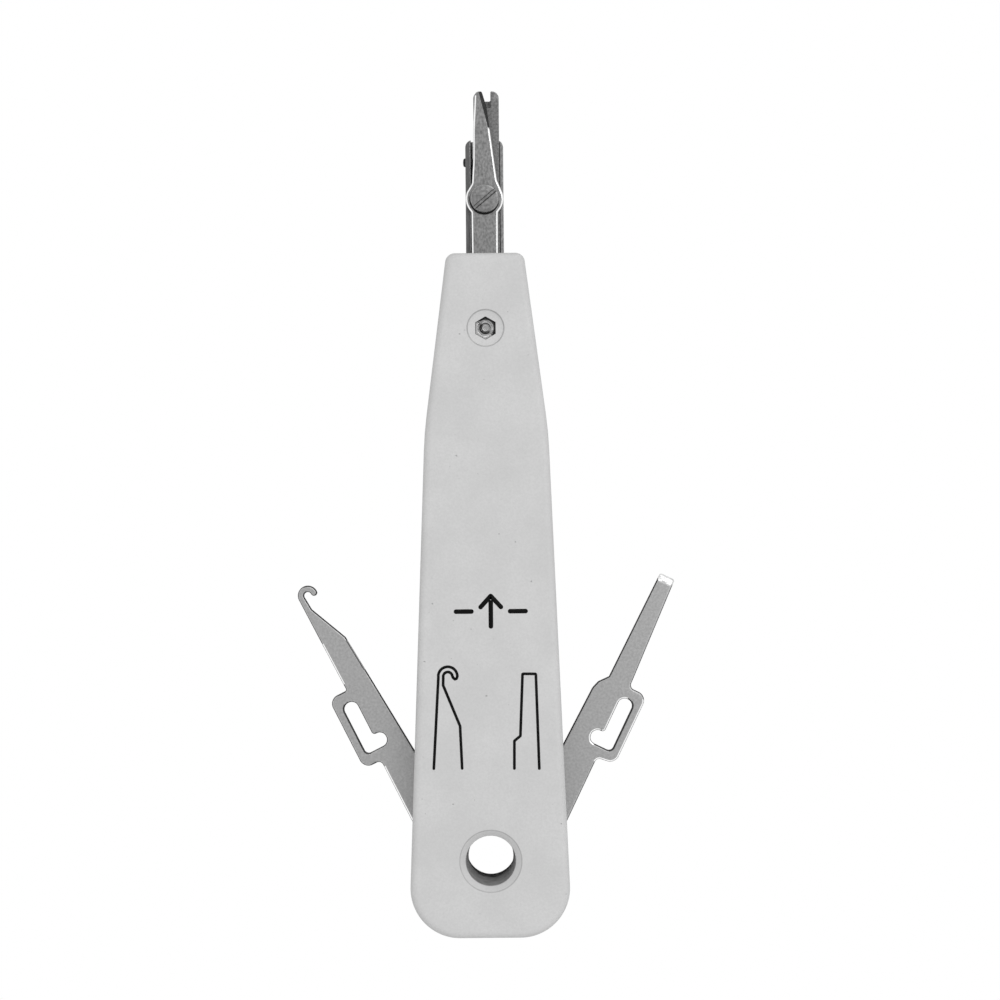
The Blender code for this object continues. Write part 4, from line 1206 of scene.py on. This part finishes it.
def clamp_thread():
    """The thread of the clamp screw, where it stands in the nut."""
    low, high = cad("clamp_screw")
    height = 5.6
    values = {
        "Coil Radius": 0.93,
        "Wire Radius": 0.11,
        "Height": height,
        "Turns": 14.0,
        "Closed Share": 0.01,
        "Steps": 14 * 28,
        "Wire Sides": 6,
        "Finish": ZINC,
    }
    empty = bpy.data.meshes.new("thread_seed")
    place = at(0, CLAMP.y, high.z - height - 0.12)
    grown("clamp_screw_thread", WOUND_WIRE, empty, place, values, "handle", [])


main_spring()
clamp_thread()


# Printed marks on the front: the two blades' outlines beside them, and a plain arrow to the tip


def mark(name, lines, width, corner):
    points = []
    edges = []
    for line in lines:
        first = len(points)
        points += [(x, y, 0) for x, y in line]
        edges += [(i, i + 1) for i in range(first, len(points) - 1)]
    mesh = bpy.data.meshes.new(name + "_corners")
    mesh.from_pydata(points, edges, [])
    values = {"Line Width": width, "Ink Thickness": 0.06, "Corner Radius": corner, "Finish": INK}
    place = Matrix.Translation((0, 0, THICKNESS - 0.03))
    grown(name, PRINTED_LINES, mesh, place, values, "handle", [])


hook_mark = [(-11.45, 35.3), (-10.35, 54.15)]
hook_mark += arc((-8.4, 54.35), 1.98, 172, 0, 12)
hook_mark += [(-6.6, 53.85), (-6.95, 53.75), (-7.35, 54.1)]
hook_mark += arc((-8.4, 54.3), 0.95, 10, 172, 15)
hook_mark += [(-9.38, 52.5), (-5.95, 44.05), (-5.6, 35.3)]
mark("hook_mark", [hook_mark], 0.58, 0.08)
spudger_mark = [(5.2, 35.2), (5.25, 40.9), (6.5, 41.9), (7.05, 54.75), (9.8, 54.7), (10.35, 35.15)]
mark("spudger_mark", [spudger_mark], 0.58, 0.2)
arrow = [[(0.6, 64.6), (0.6, 69.6)], [(-1.5, 68.6), (0.6, 70.9), (2.7, 68.6)]]
bars = [[(-6.6, 67.7), (-3.4, 67.7)], [(4.6, 67.7), (7.8, 67.7)]]
mark("push_arrow_mark", arrow + bars, 0.95, 0.05)


# Hidden CAD parts keep their shape and get their real finish
for node, finish in (
    ("clamp_sleeve", ZINC),
    ("hook_pivot_pin", ZINC),
    ("spudger_pivot_pin", ZINC),
    ("hook_friction_washer", WIRE),
    ("spudger_friction_washer", WIRE),
    ("spring_seat", ZINC),
    ("cutter_cam_pin", ZINC),
    ("spring_rod", ZINC),
):
    mesh = frame["nodes"][node].data
    mesh.materials.clear()
    mesh.materials.append(finish)

for helper in list(WORKSHOP.objects):
    bpy.data.objects.remove(helper)
bpy.data.collections.remove(WORKSHOP)


# Stage: a white table that looks evenly lit, soft light from the tip's side and a pale room


def stage():
    made = bpy.data.materials.new("white_table")
    made.use_nodes = True
    tree = made.node_tree
    tree.nodes.clear()
    matt = add(tree, "ShaderNodeBsdfDiffuse", {"Color": linear("#e6e6e6")})
    lit = add(tree, "ShaderNodeEmission", {"Color": linear("#ffffff"), "Strength": 1.0})
    seen = add(tree, "ShaderNodeLightPath").outputs["Is Camera Ray"]
    mix = add(tree, "ShaderNodeMixShader", {0: seen, 1: matt.outputs[0], 2: lit.outputs[0]})
    add(tree, "ShaderNodeOutputMaterial", {"Surface": mix.outputs[0]})
    size = 3.0
    mesh = bpy.data.meshes.new("table")
    corners = [(-size, -size, 0), (size, -size, 0), (size, size, 0), (-size, size, 0)]
    mesh.from_pydata(corners, [], [(0, 1, 2, 3)])
    mesh.transform(Matrix.Translation((0, 0, cad_low.z - 0.0002)))
    mesh.materials.append(made)
    table = in_scene("table", mesh)

    world = bpy.data.worlds.new("pale_room")
    world.use_nodes = True
    sky = world.node_tree
    way = add(sky, "ShaderNodeTexCoord").outputs["Generated"]
    height = add(sky, "ShaderNodeSeparateXYZ", {"Vector": way}).outputs["Z"]
    rays = add(sky, "ShaderNodeLightPath").outputs
    strength = add(sky, "ShaderNodeMix", {"Factor": rays["Is Glossy Ray"]}, data_type="FLOAT")
    sky.links.new(spread(sky, height, 0.0, 1.0, 0.36, 1.03), strength.inputs["A"])
    sky.links.new(spread(sky, height, 0.0, 1.0, 1.3, 0.62), strength.inputs["B"])
    shown = {"Factor": rays["Is Camera Ray"], "A": strength.outputs["Result"], "B": 1.0}
    shown = add(sky, "ShaderNodeMix", shown, data_type="FLOAT").outputs["Result"]
    sky.links.new(shown, sky.nodes["Background"].inputs["Strength"])
    sky.nodes["Background"].inputs["Color"].default_value = linear("#ffffff")
    bpy.context.scene.world = world

    light = bpy.data.lights.new("softbox", "AREA")
    light.shape = "RECTANGLE"
    light.size = 1.4
    light.size_y = 0.9
    light.energy = 9.0
    softbox = in_scene("softbox", light)
    softbox.location = (0.8, 0.9, 1.6)
    softbox.rotation_euler = (-softbox.location).to_track_quat("-Z", "Y").to_euler()

    lens = bpy.data.cameras.new("camera")
    lens.sensor_width = 36.0
    lens.lens = 101.04
    camera = in_scene("camera", lens)
    camera.location = (0.0027, 0.0201, 0.601)
    camera.rotation_euler = (0, 0, math.radians(-0.49))
    bpy.context.scene.camera = camera
    bpy.context.scene.view_settings.view_transform = "Standard"


stage()
